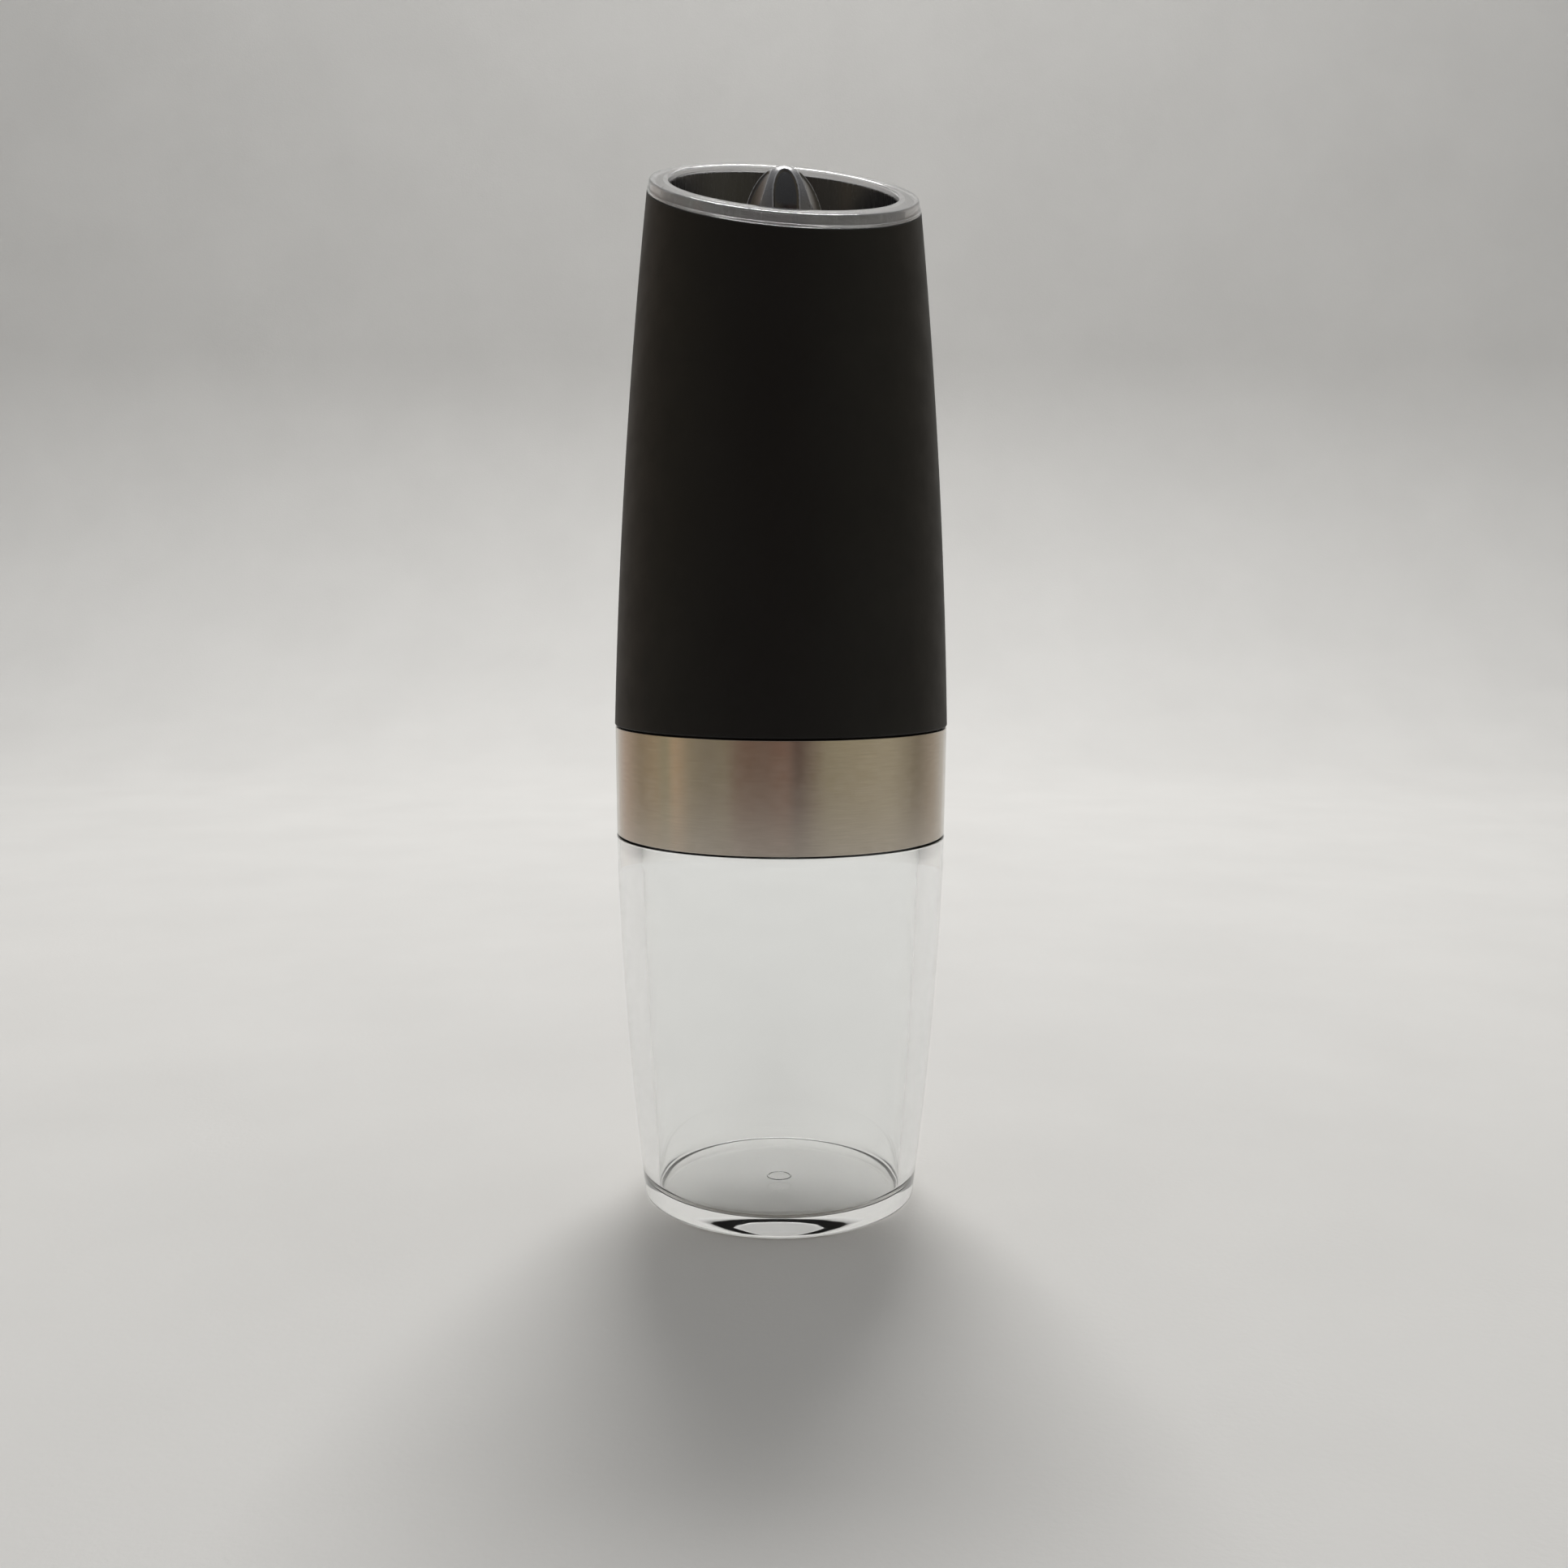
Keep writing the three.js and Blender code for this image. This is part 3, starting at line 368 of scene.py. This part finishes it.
def makeRoomWall():
    count, radius = roomWall["panels"], roomWall["radius"]
    bearings = [math.radians(b) for b in steps(-roomWall["reach"], roomWall["reach"], count)]
    verts = [(radius * math.sin(b), -radius * math.cos(b), z)
             for z in (roomWall["low"], roomWall["high"]) for b in bearings]
    faces = [(i, i + 1, count + 2 + i, count + 1 + i) for i in range(count)]
    mesh = bpy.data.meshes.new("roomWall")
    mesh.from_pydata(verts, [], faces)
    material, tree, shader, place = newMaterial("paintedWall", {
        "Roughness": 1.0, "Base Color": linear(roomWall["hex"]), "Emission Strength": roomWall["strength"]})
    split = addNode(tree, "ShaderNodeSeparateXYZ", {}, {"Vector": place})
    forward = addNode(tree, "ShaderNodeMath", {"operation": "MULTIPLY", 1: -1.0}, {0: split.outputs["Y"]})
    bearing = addNode(tree, "ShaderNodeMath", {"operation": "ARCTAN2"},
                      {0: split.outputs["X"], 1: forward.outputs[0]})
    reach = math.radians(roomWall["reach"])
    share = addNode(tree, "ShaderNodeMapRange", {"From Min": -reach, "From Max": reach},
                    {"Value": bearing.outputs[0]})
    ramp = addNode(tree, "ShaderNodeValToRGB", {}, {"Fac": share.outputs["Result"]})
    for degrees, colour in roomWall["stops"][1:-1]:
        stop = ramp.color_ramp.elements.new((degrees + roomWall["reach"]) / (2 * roomWall["reach"]))
        stop.color = linear(colour)
    ramp.color_ramp.elements[0].color = linear(roomWall["stops"][0][1])
    ramp.color_ramp.elements[-1].color = linear(roomWall["stops"][-1][1])
    tree.links.new(ramp.outputs["Color"], shader.inputs["Emission Color"])
    mesh.materials.append(material)
    wall = bpy.data.objects.new("roomWall", mesh)
    bpy.context.scene.collection.objects.link(wall)
    for kind in ("camera", "transmission", "diffuse", "shadow"):
        setattr(wall, "visible_" + kind, False)


makeRoomWall()
print("stage: camera, paper and lights made")


# acrylic, injection moulded and polished: water clear, with the faintest flow waves; lamp rays pass
# straight through it, as they do through clear plastic, so that its shadow stays pale
def polishedAcrylic():
    material, tree, shader, place = newMaterial("polishedAcrylic", {
        "Base Color": linear("#fbfcfc"), "Roughness": 0.01, "IOR": 1.49, "Transmission Weight": 1.0})
    layPatterns(tree, shader, place, {
        "bumps": {"grain": 14.0, "detail": 2, "depth": 0.02, "strength": 0.35}})
    path = addNode(tree, "ShaderNodeLightPath")
    clear = addNode(tree, "ShaderNodeBsdfTransparent", {"Color": linear("#e0e0e0")})
    mix = addNode(tree, "ShaderNodeMixShader", {}, {
        "Fac": path.outputs["Is Shadow Ray"], 1: shader.outputs["BSDF"], 2: clear.outputs["BSDF"]})
    tree.links.new(mix.outputs["Shader"], tree.nodes["Material Output"].inputs["Surface"])
    return material


# acrylic with a fine satin skin on its moulded faces: shows the black below, greyed by the sky
def satinAcrylic():
    material, tree, shader, place = newMaterial("satinAcrylic", {"IOR": 1.49, "Transmission Weight": 0.84})
    layPatterns(tree, shader, place, {
        "colour": {"grain": 9.0, "hexes": ("#e6e6e8", "#f2f2f3")},
        "gloss": {"grain": 3.0, "between": (0.06, 0.11)},
        "bumps": {"grain": 8.0, "detail": 2, "depth": 0.02, "strength": 0.15}})
    return material


# ABS with a soft-touch lacquer: very dark, even, with a velvety edge
def softTouchLacquer():
    material, tree, shader, place = newMaterial("softTouchLacquer", {
        "Sheen Weight": 0.03, "Sheen Roughness": 0.4, "Specular IOR Level": 0.22})
    layPatterns(tree, shader, place, {
        "colour": {"grain": 22.0, "hexes": ("#101011", "#141415")},
        "gloss": {"grain": 6.0, "between": (0.54, 0.62)},
        "bumps": {"grain": 0.45, "detail": 2, "depth": 0.02, "strength": 0.5}})
    return material


# ABS, injection moulded with a spark-eroded texture: dark, with a low satin gloss
def mouldedAbs():
    material, tree, shader, place = newMaterial("mouldedAbs", {})
    layPatterns(tree, shader, place, {
        "colour": {"grain": 12.0, "hexes": ("#161617", "#1c1c1e")},
        "gloss": {"grain": 4.0, "between": (0.34, 0.46)},
        "bumps": {"grain": 0.5, "detail": 2, "depth": 0.03, "strength": 0.5}})
    return material


# ABS, moulded in a polished tool and rubbed by brushing pepper out: upright scuffs
def scuffedAbs():
    material, tree, shader, place = newMaterial("scuffedAbs", {})
    upright = addNode(tree, "ShaderNodeMapping", {"Scale": (1.0, 1.0, 0.12)}, {"Vector": place})
    scuffs = {"grain": 0.9, "detail": 4, "fuzz": 0.65}
    layPatterns(tree, shader, upright.outputs["Vector"], {
        "colour": {**scuffs, "hexes": ("#343436", "#424244"), "between": (0.3, 0.8)},
        "gloss": {**scuffs, "between": (0.22, 0.3)},
        "bumps": {**scuffs, "depth": 0.02, "strength": 0.5}})
    return material


# polycarbonate tinted smoke grey, moulded: satin ridges; glossier flutes whose darker copy is painted shade
# in the hollows, and lighter arrises between them that are a painted highlight
def smokedPolycarbonate(name, hexes, gloss, clearness):
    material, tree, shader, place = newMaterial(name, {"IOR": 1.58, "Transmission Weight": clearness})
    layPatterns(tree, shader, place, {
        "colour": {"grain": 5.0, "hexes": hexes},
        "gloss": {"grain": 2.0, "between": gloss},
        "bumps": {"grain": 1.6, "depth": 0.01, "strength": 0.3}})
    return material


# stainless steel, brushed round the band by a belt: fine hairlines, with reflections drawn out upright
def brushedStainless(radius):
    material, tree, shader, place = newMaterial("brushedStainless", {
        "Metallic": 1.0, "Anisotropic": 0.8, "Anisotropic Rotation": 0.25})
    # real lines are 0.05 mm apart, too fine to show, so these are drawn three times as coarse
    hairlines = {"grain": 0.16, "detail": 4, "fuzz": 0.7}
    layPatterns(tree, shader, wrapped(tree, place, radius, 0.03), {
        "colour": {**hairlines, "hexes": ("#b3aca3", "#c3bcb3")},
        "bumps": {**hairlines, "depth": 0.003, "strength": 0.5}})
    layPatterns(tree, shader, wrapped(tree, place, radius, 1.0), {
        "gloss": {"grain": 2.4, "between": (0.22, 0.27)}})
    tangent = addNode(tree, "ShaderNodeTangent", {"direction_type": "RADIAL", "axis": "Z"})
    tree.links.new(tangent.outputs["Tangent"], shader.inputs["Tangent"])
    return material


# metal parts that are plated, drawn or stamped: small rolling marks in the gloss
def workedMetal(name, hexes, gloss, mark):
    material, tree, shader, place = newMaterial(name, {"Metallic": 1.0})
    marks = {"grain": mark, "detail": 4, "fuzz": 0.6}
    layPatterns(tree, shader, place, {
        "colour": {**marks, "hexes": hexes},
        "gloss": {**marks, "between": gloss},
        "bumps": {**marks, "depth": 0.01, "strength": 0.4}})
    return material


# nitrile rubber, moulded: matte black with a dusty bloom
def nitrileRubber():
    material, tree, shader, place = newMaterial("nitrileRubber", {"Specular IOR Level": 0.3})
    layPatterns(tree, shader, place, {
        "colour": {"grain": 3.0, "hexes": ("#1b1b1c", "#2a2a2b")},
        "gloss": {"grain": 1.0, "between": (0.65, 0.85)},
        "bumps": {"grain": 0.3, "depth": 0.03, "strength": 0.5}})
    return material


# acetal, moulded: waxy off-white, with a little light held under its skin
def mouldedAcetal():
    material, tree, shader, place = newMaterial("mouldedAcetal", {
        "Subsurface Weight": 0.1, "Subsurface Scale": 2 * mm})
    layPatterns(tree, shader, place, {
        "colour": {"grain": 4.0, "hexes": ("#ddd8ca", "#ece8dc")},
        "gloss": {"grain": 1.5, "between": (0.3, 0.42)},
        "bumps": {"grain": 0.6, "depth": 0.01, "strength": 0.4}})
    return material


# alumina, pressed and sintered: chalky white with a fine tooth
def sinteredAlumina():
    material, tree, shader, place = newMaterial("sinteredAlumina", {"Specular IOR Level": 0.5})
    layPatterns(tree, shader, place, {
        "colour": {"grain": 1.5, "hexes": ("#e4dfd2", "#f2efe6")},
        "gloss": {"grain": 0.6, "between": (0.4, 0.6)},
        "bumps": {"grain": 0.3, "depth": 0.04, "strength": 0.6}})
    return material


# PVC film, printed and shrunk round each cell: dark blue with a copper-coloured end band, clear-coated
def shrinkFilm():
    bandStart = 0.74
    low, high = boxOf("battery_1")
    material, tree, shader, place = newMaterial("shrinkFilm", {"Coat Weight": 0.4, "Coat Roughness": 0.1})
    split = addNode(tree, "ShaderNodeSeparateXYZ", {}, {"Vector": place})
    height = addNode(tree, "ShaderNodeMapRange", {"From Min": low.z * mm, "From Max": high.z * mm},
                     {"Value": split.outputs["Z"]})
    ramp = addNode(tree, "ShaderNodeValToRGB", {}, {"Fac": height.outputs["Result"]})
    ramp.color_ramp.interpolation = "CONSTANT"
    ramp.color_ramp.elements[0].color = linear("#2b3a5e")
    ramp.color_ramp.elements[1].position = bandStart
    ramp.color_ramp.elements[1].color = linear("#a8703c")
    tree.links.new(ramp.outputs["Color"], shader.inputs["Base Color"])
    layPatterns(tree, shader, place, {"gloss": {"grain": 2.0, "between": (0.22, 0.34)}})
    return material


# glass-epoxy board under green solder resist: faint weave below the lacquer
def solderResist():
    material, tree, shader, place = newMaterial("solderResist", {"Coat Weight": 0.3})
    layPatterns(tree, shader, place, {
        "colour": {"grain": 0.8, "hexes": ("#1b5230", "#256a40")},
        "gloss": {"grain": 2.0, "between": (0.3, 0.42)},
        "bumps": {"grain": 0.5, "depth": 0.02, "strength": 0.5}})
    return material


# epoxy lamp body, cast: milky clear
def castEpoxy():
    material, tree, shader, place = newMaterial("castEpoxy", {"IOR": 1.54, "Transmission Weight": 0.6})
    layPatterns(tree, shader, place, {
        "colour": {"grain": 1.0, "hexes": ("#ecece4", "#f8f8f2")},
        "gloss": {"grain": 0.8, "between": (0.08, 0.16)}})
    return material


finishes = {
    "clear_jar": polishedAcrylic(),
    "soft_black": softTouchLacquer(),
    "black_plastic": mouldedAbs(),
    "recess_grey": scuffedAbs(),
    "smoked_knob": smokedPolycarbonate("smokedRidge", ("#6b6b6f", "#77777b"), (0.24, 0.32), 0.1),
    "brushed_band": brushedStainless(bandHigh.x),
    "zinc": workedMetal("zincPlatedSteel", ("#9ea1a4", "#c2c5c8"), (0.26, 0.4), 0.8),
    "brass": workedMetal("stampedBrass", ("#b3924c", "#cfae66"), (0.26, 0.4), 1.2),
    "copper": workedMetal("lacqueredCopper", ("#8e4f2c", "#b87246"), (0.3, 0.45), 0.4),
    "rubber": nitrileRubber(),
    "acetal": mouldedAcetal(),
    "ceramic": sinteredAlumina(),
    "cell_wrapper": shrinkFilm(),
    "circuit_board": solderResist(),
    "lamp": castEpoxy(),
}
rimFinish = satinAcrylic()
# the flutes' darker colour is painted shade in the hollows, not a different plastic
fluteShadeFinish = smokedPolycarbonate("smokedFluteShade", ("#333336", "#3d3d41"), (0.1, 0.16), 0.2)
# the arrises' lighter colour is a painted highlight along the flute edges
arrisHighlightFinish = smokedPolycarbonate("paintedArrisHighlight", ("#a9a9ad", "#bcbcc0"), (0.08, 0.12), 0.1)
print("stage: materials made")


# carried-over pieces keep their shape and take their finish
def dressFrame(smoothAngle=32):
    for part in frame["record"]["subparts"]:
        piece = nodes[part["node"]]
        piece.data.materials.clear()
        piece.data.materials.append(finishes[part["material_slot"]])
        piece.data.shade_smooth()
        piece.data.set_sharp_from_angle(angle=math.radians(smoothAngle))


dressFrame()
print("stage: inner pieces dressed")

# the jar: two walls that bow outwards a little, a thick floor with the moulding gate's low ring, and a neck
jar = {
    "slope": 0.0228,
    "arc": 750.0,
    "innerSlope": 0.022,
    "innerArc": 1250.0,
    "wall": 5.0,
    "floor": 3.3,
    "lift": 0.02,
    "footFillet": 1.5,
    "floorFillet": 3.5,
    "shoulder": bandLow.z - 0.3,
    "shoulderFillet": 0.3,
    "neckBore": 26.9,
    "neckRadius": 28.8,
    "neckDepth": 1.0,
    "neckFillet": 1.0,
    "lipFillet": 0.4,
    "outerRows": (1.9, bandLow.z - 0.8),
    "innerRows": (bandLow.z - 3.3, 7.1),
    "rows": 24,
    "gateRadius": 2.1,
    "gateWidth": 0.4,
    "gateHeight": 0.1,
    "gateFillet": 0.1,
    "smoothAngle": 50,
}


def jarRadius(z):
    drop = jar["shoulder"] - z
    return jarHigh.x - jar["slope"] * drop - drop ** 2 / (2 * jar["arc"])


def jarBore(z):
    drop = jar["shoulder"] - z
    return jarHigh.x - jar["wall"] - jar["innerSlope"] * drop - drop ** 2 / (2 * jar["innerArc"])


def jarOutline():
    foot = jarRadius(jar["footFillet"])
    floor, shoulder = jar["floor"], jar["shoulder"]
    corners = [(0, jar["lift"], 0), (foot, jar["lift"], jar["footFillet"])]
    corners += [(jarRadius(z), z, 0) for z in steps(*jar["outerRows"], jar["rows"])]
    corners += [
        (jarRadius(shoulder), shoulder, jar["shoulderFillet"]), (jar["neckRadius"], shoulder, 0),
        (jar["neckRadius"], jarHigh.z, jar["lipFillet"]), (jar["neckBore"], jarHigh.z, jar["lipFillet"]),
        (jar["neckBore"], shoulder + jar["neckDepth"], jar["neckFillet"])]
    corners += [(jarBore(z), z, 0) for z in steps(*jar["innerRows"], jar["rows"])]
    corners += [(jarBore(floor + jar["floorFillet"]), floor, jar["floorFillet"])]
    for across, rise in ((1.0, 0), (0.7, jar["gateHeight"]), (0.3, jar["gateHeight"]), (0, 0)):
        corners.append((jar["gateRadius"] + jar["gateWidth"] * across, floor + rise, jar["gateFillet"]))
    return roundedLoop(corners + [(0, floor, 0)])


def makeJar():
    outline = jarOutline()
    mesh = turnedMesh("clear_jar", lambda angle: outline, closed=False)
    makeObject("clear_jar", mesh, finishes["clear_jar"], "jar", ["jar"], jar["smoothAngle"])


makeJar()

# bayonet lugs: three blocks round the neck, under the collar
lugs = {
    "count": 3,
    "low": jarHigh.z - 7.0,
    "high": jarHigh.z - 4.5,
    "depth": 1.1,
    "standOff": 0.02,
    "edge": 0.3,
    "halfWidth": math.radians(8),
    "columns": 8,
}


def makeLugs():
    root, tip = jar["neckRadius"] + lugs["standOff"], jar["neckRadius"] + lugs["depth"]
    outline = roundedLoop([(root, lugs["low"], 0), (tip, lugs["low"], lugs["edge"]),
                           (tip, lugs["high"], lugs["edge"]), (root, lugs["high"], 0)], 3)
    shape = bmesh.new()
    for i in range(lugs["count"]):
        middle = fullTurn * i / lugs["count"]
        angles = steps(middle - lugs["halfWidth"], middle + lugs["halfWidth"], lugs["columns"])
        rows = [outlineRow(shape, outline, angle) for angle in angles]
        for here, there in zip(rows, rows[1:]):
            joinRows(shape, here, there)
        shape.faces.new(rows[0])
        shape.faces.new(rows[-1][::-1])
    makeObject("jar_lugs", meshFrom("jar_lugs", shape), finishes["clear_jar"], "jar", [])


makeLugs()
print("stage: jar made")

# the steel band: a thin hoop, a little narrower at its foot
band = {"wall": 0.6, "edge": 0.22, "innerEdge": 0.1, "taper": 0.2}


def makeBand():
    low, high = bandLow.z, bandHigh.z
    footRadius, topRadius = bandHigh.x - band["taper"], bandHigh.x
    outline = roundedLoop([
        (footRadius, low, band["edge"]), (topRadius, high, band["edge"]),
        (topRadius - band["wall"], high, band["innerEdge"]),
        (footRadius - band["wall"], low, band["innerEdge"])])
    mesh = turnedMesh("brushed_band", lambda angle: outline)
    makeObject("brushed_band", mesh, finishes["brushed_band"], "core", ["steel_band"])


makeBand()

# the housing sleeve: one thin wall, cut off parallel to the rim
sleeve = {
    "rows": 30,
    "rowMargin": 1.0,
    "footEdge": 0.35,
    "innerFootEdge": 0.2,
    "rimEdge": 0.25,
    "innerRimEdge": 0.1,
    "rimDrop": 2.35,
}


def sleeveBore(z):
    return sleeveRadius(z) - body["sleeveWall"]


def sleeveOutline(angle):
    foot, margin = body["sleeveFoot"], sleeve["rowMargin"]
    topRadius, top = meetRim(sleeveRadius, angle, -sleeve["rimDrop"])
    innerRadius, innerTop = meetRim(sleeveBore, angle, -sleeve["rimDrop"])
    corners = [(sleeveRadius(foot), foot, sleeve["footEdge"])]
    corners += [(sleeveRadius(z), z, 0) for z in steps(foot + margin, top - margin, sleeve["rows"])]
    corners += [(topRadius, top, sleeve["rimEdge"]), (innerRadius, innerTop, sleeve["innerRimEdge"])]
    corners += [(sleeveBore(z), z, 0) for z in steps(innerTop - margin, foot + margin, sleeve["rows"])]
    corners += [(sleeveBore(foot), foot, sleeve["innerFootEdge"])]
    return roundedLoop(corners)


def makeSleeve():
    mesh = turnedMesh("soft_touch_sleeve", sleeveOutline)
    makeObject("soft_touch_sleeve", mesh, finishes["soft_black"], "sleeve", ["housing_sleeve"])


makeSleeve()

# the outlet cup: a tapered wall on a flat floor, whose hole clears the burr retainer's neck
cup = {
    "floorTop": cupLow.z + 1.5,
    "hole": retainerHigh.x - 3.5,
    "holeEdge": 0.3,
    "wall": 0.8,
    "lowWidth": 4.7,
    "highWidth": 3.4,
    "rimDrop": 1.4,
    "rimEdge": 0.1,
    "footEdge": 0.3,
    "undersideEdge": 0.2,
    "floorFillet": 1.2,
    "rowsBelowRim": 0.5,
    "rowsAboveFloor": 2.0,
    "rows": 16,
}


def recessRadius(z):
    part = (z - cup["floorTop"]) / (body["rimTop"] - cup["floorTop"])
    low = sleeveRadius(cup["floorTop"]) - cup["lowWidth"]
    high = sleeveRadius(body["rimTop"]) - cup["highWidth"]
    return low + (high - low) * part


def cupOuter(z):
    return recessRadius(z) + cup["wall"]


def cupOutline(angle):
    low, floor = cupLow.z, cup["floorTop"]
    topRadius, top = meetRim(recessRadius, angle, -cup["rimDrop"])
    outerRadius, outerTop = meetRim(cupOuter, angle, -cup["rimDrop"])
    corners = [(cup["hole"], low, cup["undersideEdge"]), (cupOuter(low), low, cup["footEdge"]),
               (outerRadius, outerTop, cup["rimEdge"]), (topRadius, top, cup["rimEdge"])]
    rowsTop, rowsFoot = top - cup["rowsBelowRim"], floor + cup["rowsAboveFloor"]
    corners += [(recessRadius(z), z, 0) for z in steps(rowsTop, rowsFoot, cup["rows"])]
    corners += [(recessRadius(floor), floor, cup["floorFillet"]), (cup["hole"], floor, cup["holeEdge"])]
    return roundedLoop(corners)


def makeCup():
    mesh = turnedMesh("outlet_recess", cupOutline)
    makeObject("outlet_recess", mesh, finishes["recess_grey"], "sleeve", ["outlet_cup"])


makeCup()

# the clear rim, with a bead round its foot and a skirt that guides light up from below
rim = {
    "outerDrop": 2.25,
    "innerDrop": 1.3,
    "outerEdge": 0.6,
    "innerEdge": 0.9,
    "lipEdge": 0.15,
    "gap": 0.3,
    "skirtEdge": 0.1,
    "skirtFoot": 0.2,
    "bead": 0.14,
    "beadHeight": 0.5,
    "beadEdge": 0.08,
    "beadRoot": 0.05,
}


def rimOuter(z):
    return sleeveRadius(z) - body["rimStep"]


def beadOuter(z):
    return rimOuter(z) + rim["bead"]


def skirtOuter(z):
    return sleeveBore(z) - rim["gap"]


def skirtInner(z):
    return cupOuter(z) + rim["gap"]


def rimOutline(angle):
    def cornerAt(radiusAt, drop, fillet):
        return (*meetRim(radiusAt, angle, -drop), fillet)
    foot, beadTop = ringLow.z, rim["outerDrop"] - rim["beadHeight"]
    return roundedLoop([
        cornerAt(rimOuter, 0, rim["outerEdge"]), cornerAt(recessRadius, 0, rim["innerEdge"]),
        cornerAt(recessRadius, rim["innerDrop"], rim["lipEdge"]),
        cornerAt(skirtInner, rim["innerDrop"], rim["skirtEdge"]),
        (skirtInner(foot), foot, rim["skirtFoot"]), (skirtOuter(foot), foot, rim["skirtFoot"]),
        cornerAt(skirtOuter, rim["outerDrop"], rim["skirtEdge"]),
        cornerAt(beadOuter, rim["outerDrop"], rim["beadEdge"]),
        cornerAt(beadOuter, beadTop, rim["beadEdge"]), cornerAt(rimOuter, beadTop, rim["beadRoot"])])


def makeRim():
    mesh = turnedMesh("clear_rim", rimOutline)
    makeObject("clear_rim", mesh, rimFinish, "sleeve", ["rim_ring"])


makeRim()
print("stage: sleeve, cup and rim made")

# the grind knob: a domed stem with flutes that end in an arch below its top, bored for the setting stud
knob = {
    "radius": 8.0,
    "dome": 14.05,
    "stemRows": 8,
    "domeRows": 110,
    "columns": 720,
    "footEdge": 0.5,
    "bore": 2.2,
    "boreTop": knobHigh.z - 6.0,
    "boreMargin": 0.3,
    "flutes": 6,
    "facing": math.radians(-85),
    "fluteHalf": 2.5,
    "fluteDepth": 1.1,
    "fluteRunIn": 0.12,
    "archStart": knobHigh.z - 7.0,
    "archTop": knobHigh.z - 1.1,
    # width of the strip along each flute edge that takes the painted highlight
    "arris": 0.16,
    "smoothAngle": 28,
}
stemTop = knobHigh.z - knob["dome"]


# how far a point is into a flute: 1 on its centre line, 0 on its edge, negative outside
def intoFlute(angle, radius, z):
    pitch = fullTurn / knob["flutes"]
    offset = (angle - knob["facing"] + pitch / 2) % pitch - pitch / 2
    rise = max(0.0, (z - knob["archStart"]) / (knob["archTop"] - knob["archStart"]))
    across = radius * math.sin(offset) / knob["fluteHalf"]
    return 1 - math.sqrt(across ** 2 + rise ** 2)


def fluteCut(angle, radius, z):
    into = max(0.0, intoFlute(angle, radius, z))
    return knob["fluteDepth"] * math.sqrt(1 - (1 - into) ** 2) * min(1.0, into / knob["fluteRunIn"])


def knobOutline(angle):
    wall = [(knob["radius"], z) for z in steps(knobLow.z + knob["footEdge"], stemTop, knob["stemRows"])]
    wall += [(knob["radius"] * math.cos(a), stemTop + knob["dome"] * math.sin(a))
             for a in steps(0, math.pi / 2, knob["domeRows"])[1:-1]]
    points = [(0, knob["boreTop"]), (knob["bore"], knob["boreTop"]), (knob["bore"], knobLow.z),
              (knob["radius"] - knob["footEdge"], knobLow.z)]
    points += [(r - fluteCut(angle, r, z), z) for r, z in wall]
    return points + [(0, knobHigh.z)]


# which of the knob's materials a face takes: 0 on the ridges and in the bore, 1 in a flute, painted darker as
# shade, 2 on an arris, painted lighter as a highlight
def knobFinishAt(centre):
    reach = math.hypot(centre.x, centre.y)
    if reach < knob["bore"] + knob["boreMargin"] and centre.z < knob["boreTop"] + knob["boreMargin"]:
        return 0
    height = max(0.0, (centre.z - stemTop) / knob["dome"])
    surface = knob["radius"] * math.sqrt(max(0.0, 1 - height ** 2))
    into = intoFlute(math.atan2(centre.y, centre.x), surface, centre.z) * knob["fluteHalf"]
    if abs(into) <= knob["arris"] / 2:
        return 2
    return 1 if into > 0 else 0


def makeKnob():
    mesh = turnedMesh("fluted_knob", knobOutline, knob["columns"], closed=False)
    makeObject("fluted_knob", mesh, finishes["smoked_knob"], "grind_knob", ["grind_knob"],
               knob["smoothAngle"])
    mesh.materials.append(fluteShadeFinish)
    mesh.materials.append(arrisHighlightFinish)
    for face in mesh.polygons:
        face.material_index = knobFinishAt(face.center / mm)


makeKnob()
print("stage: knob made")
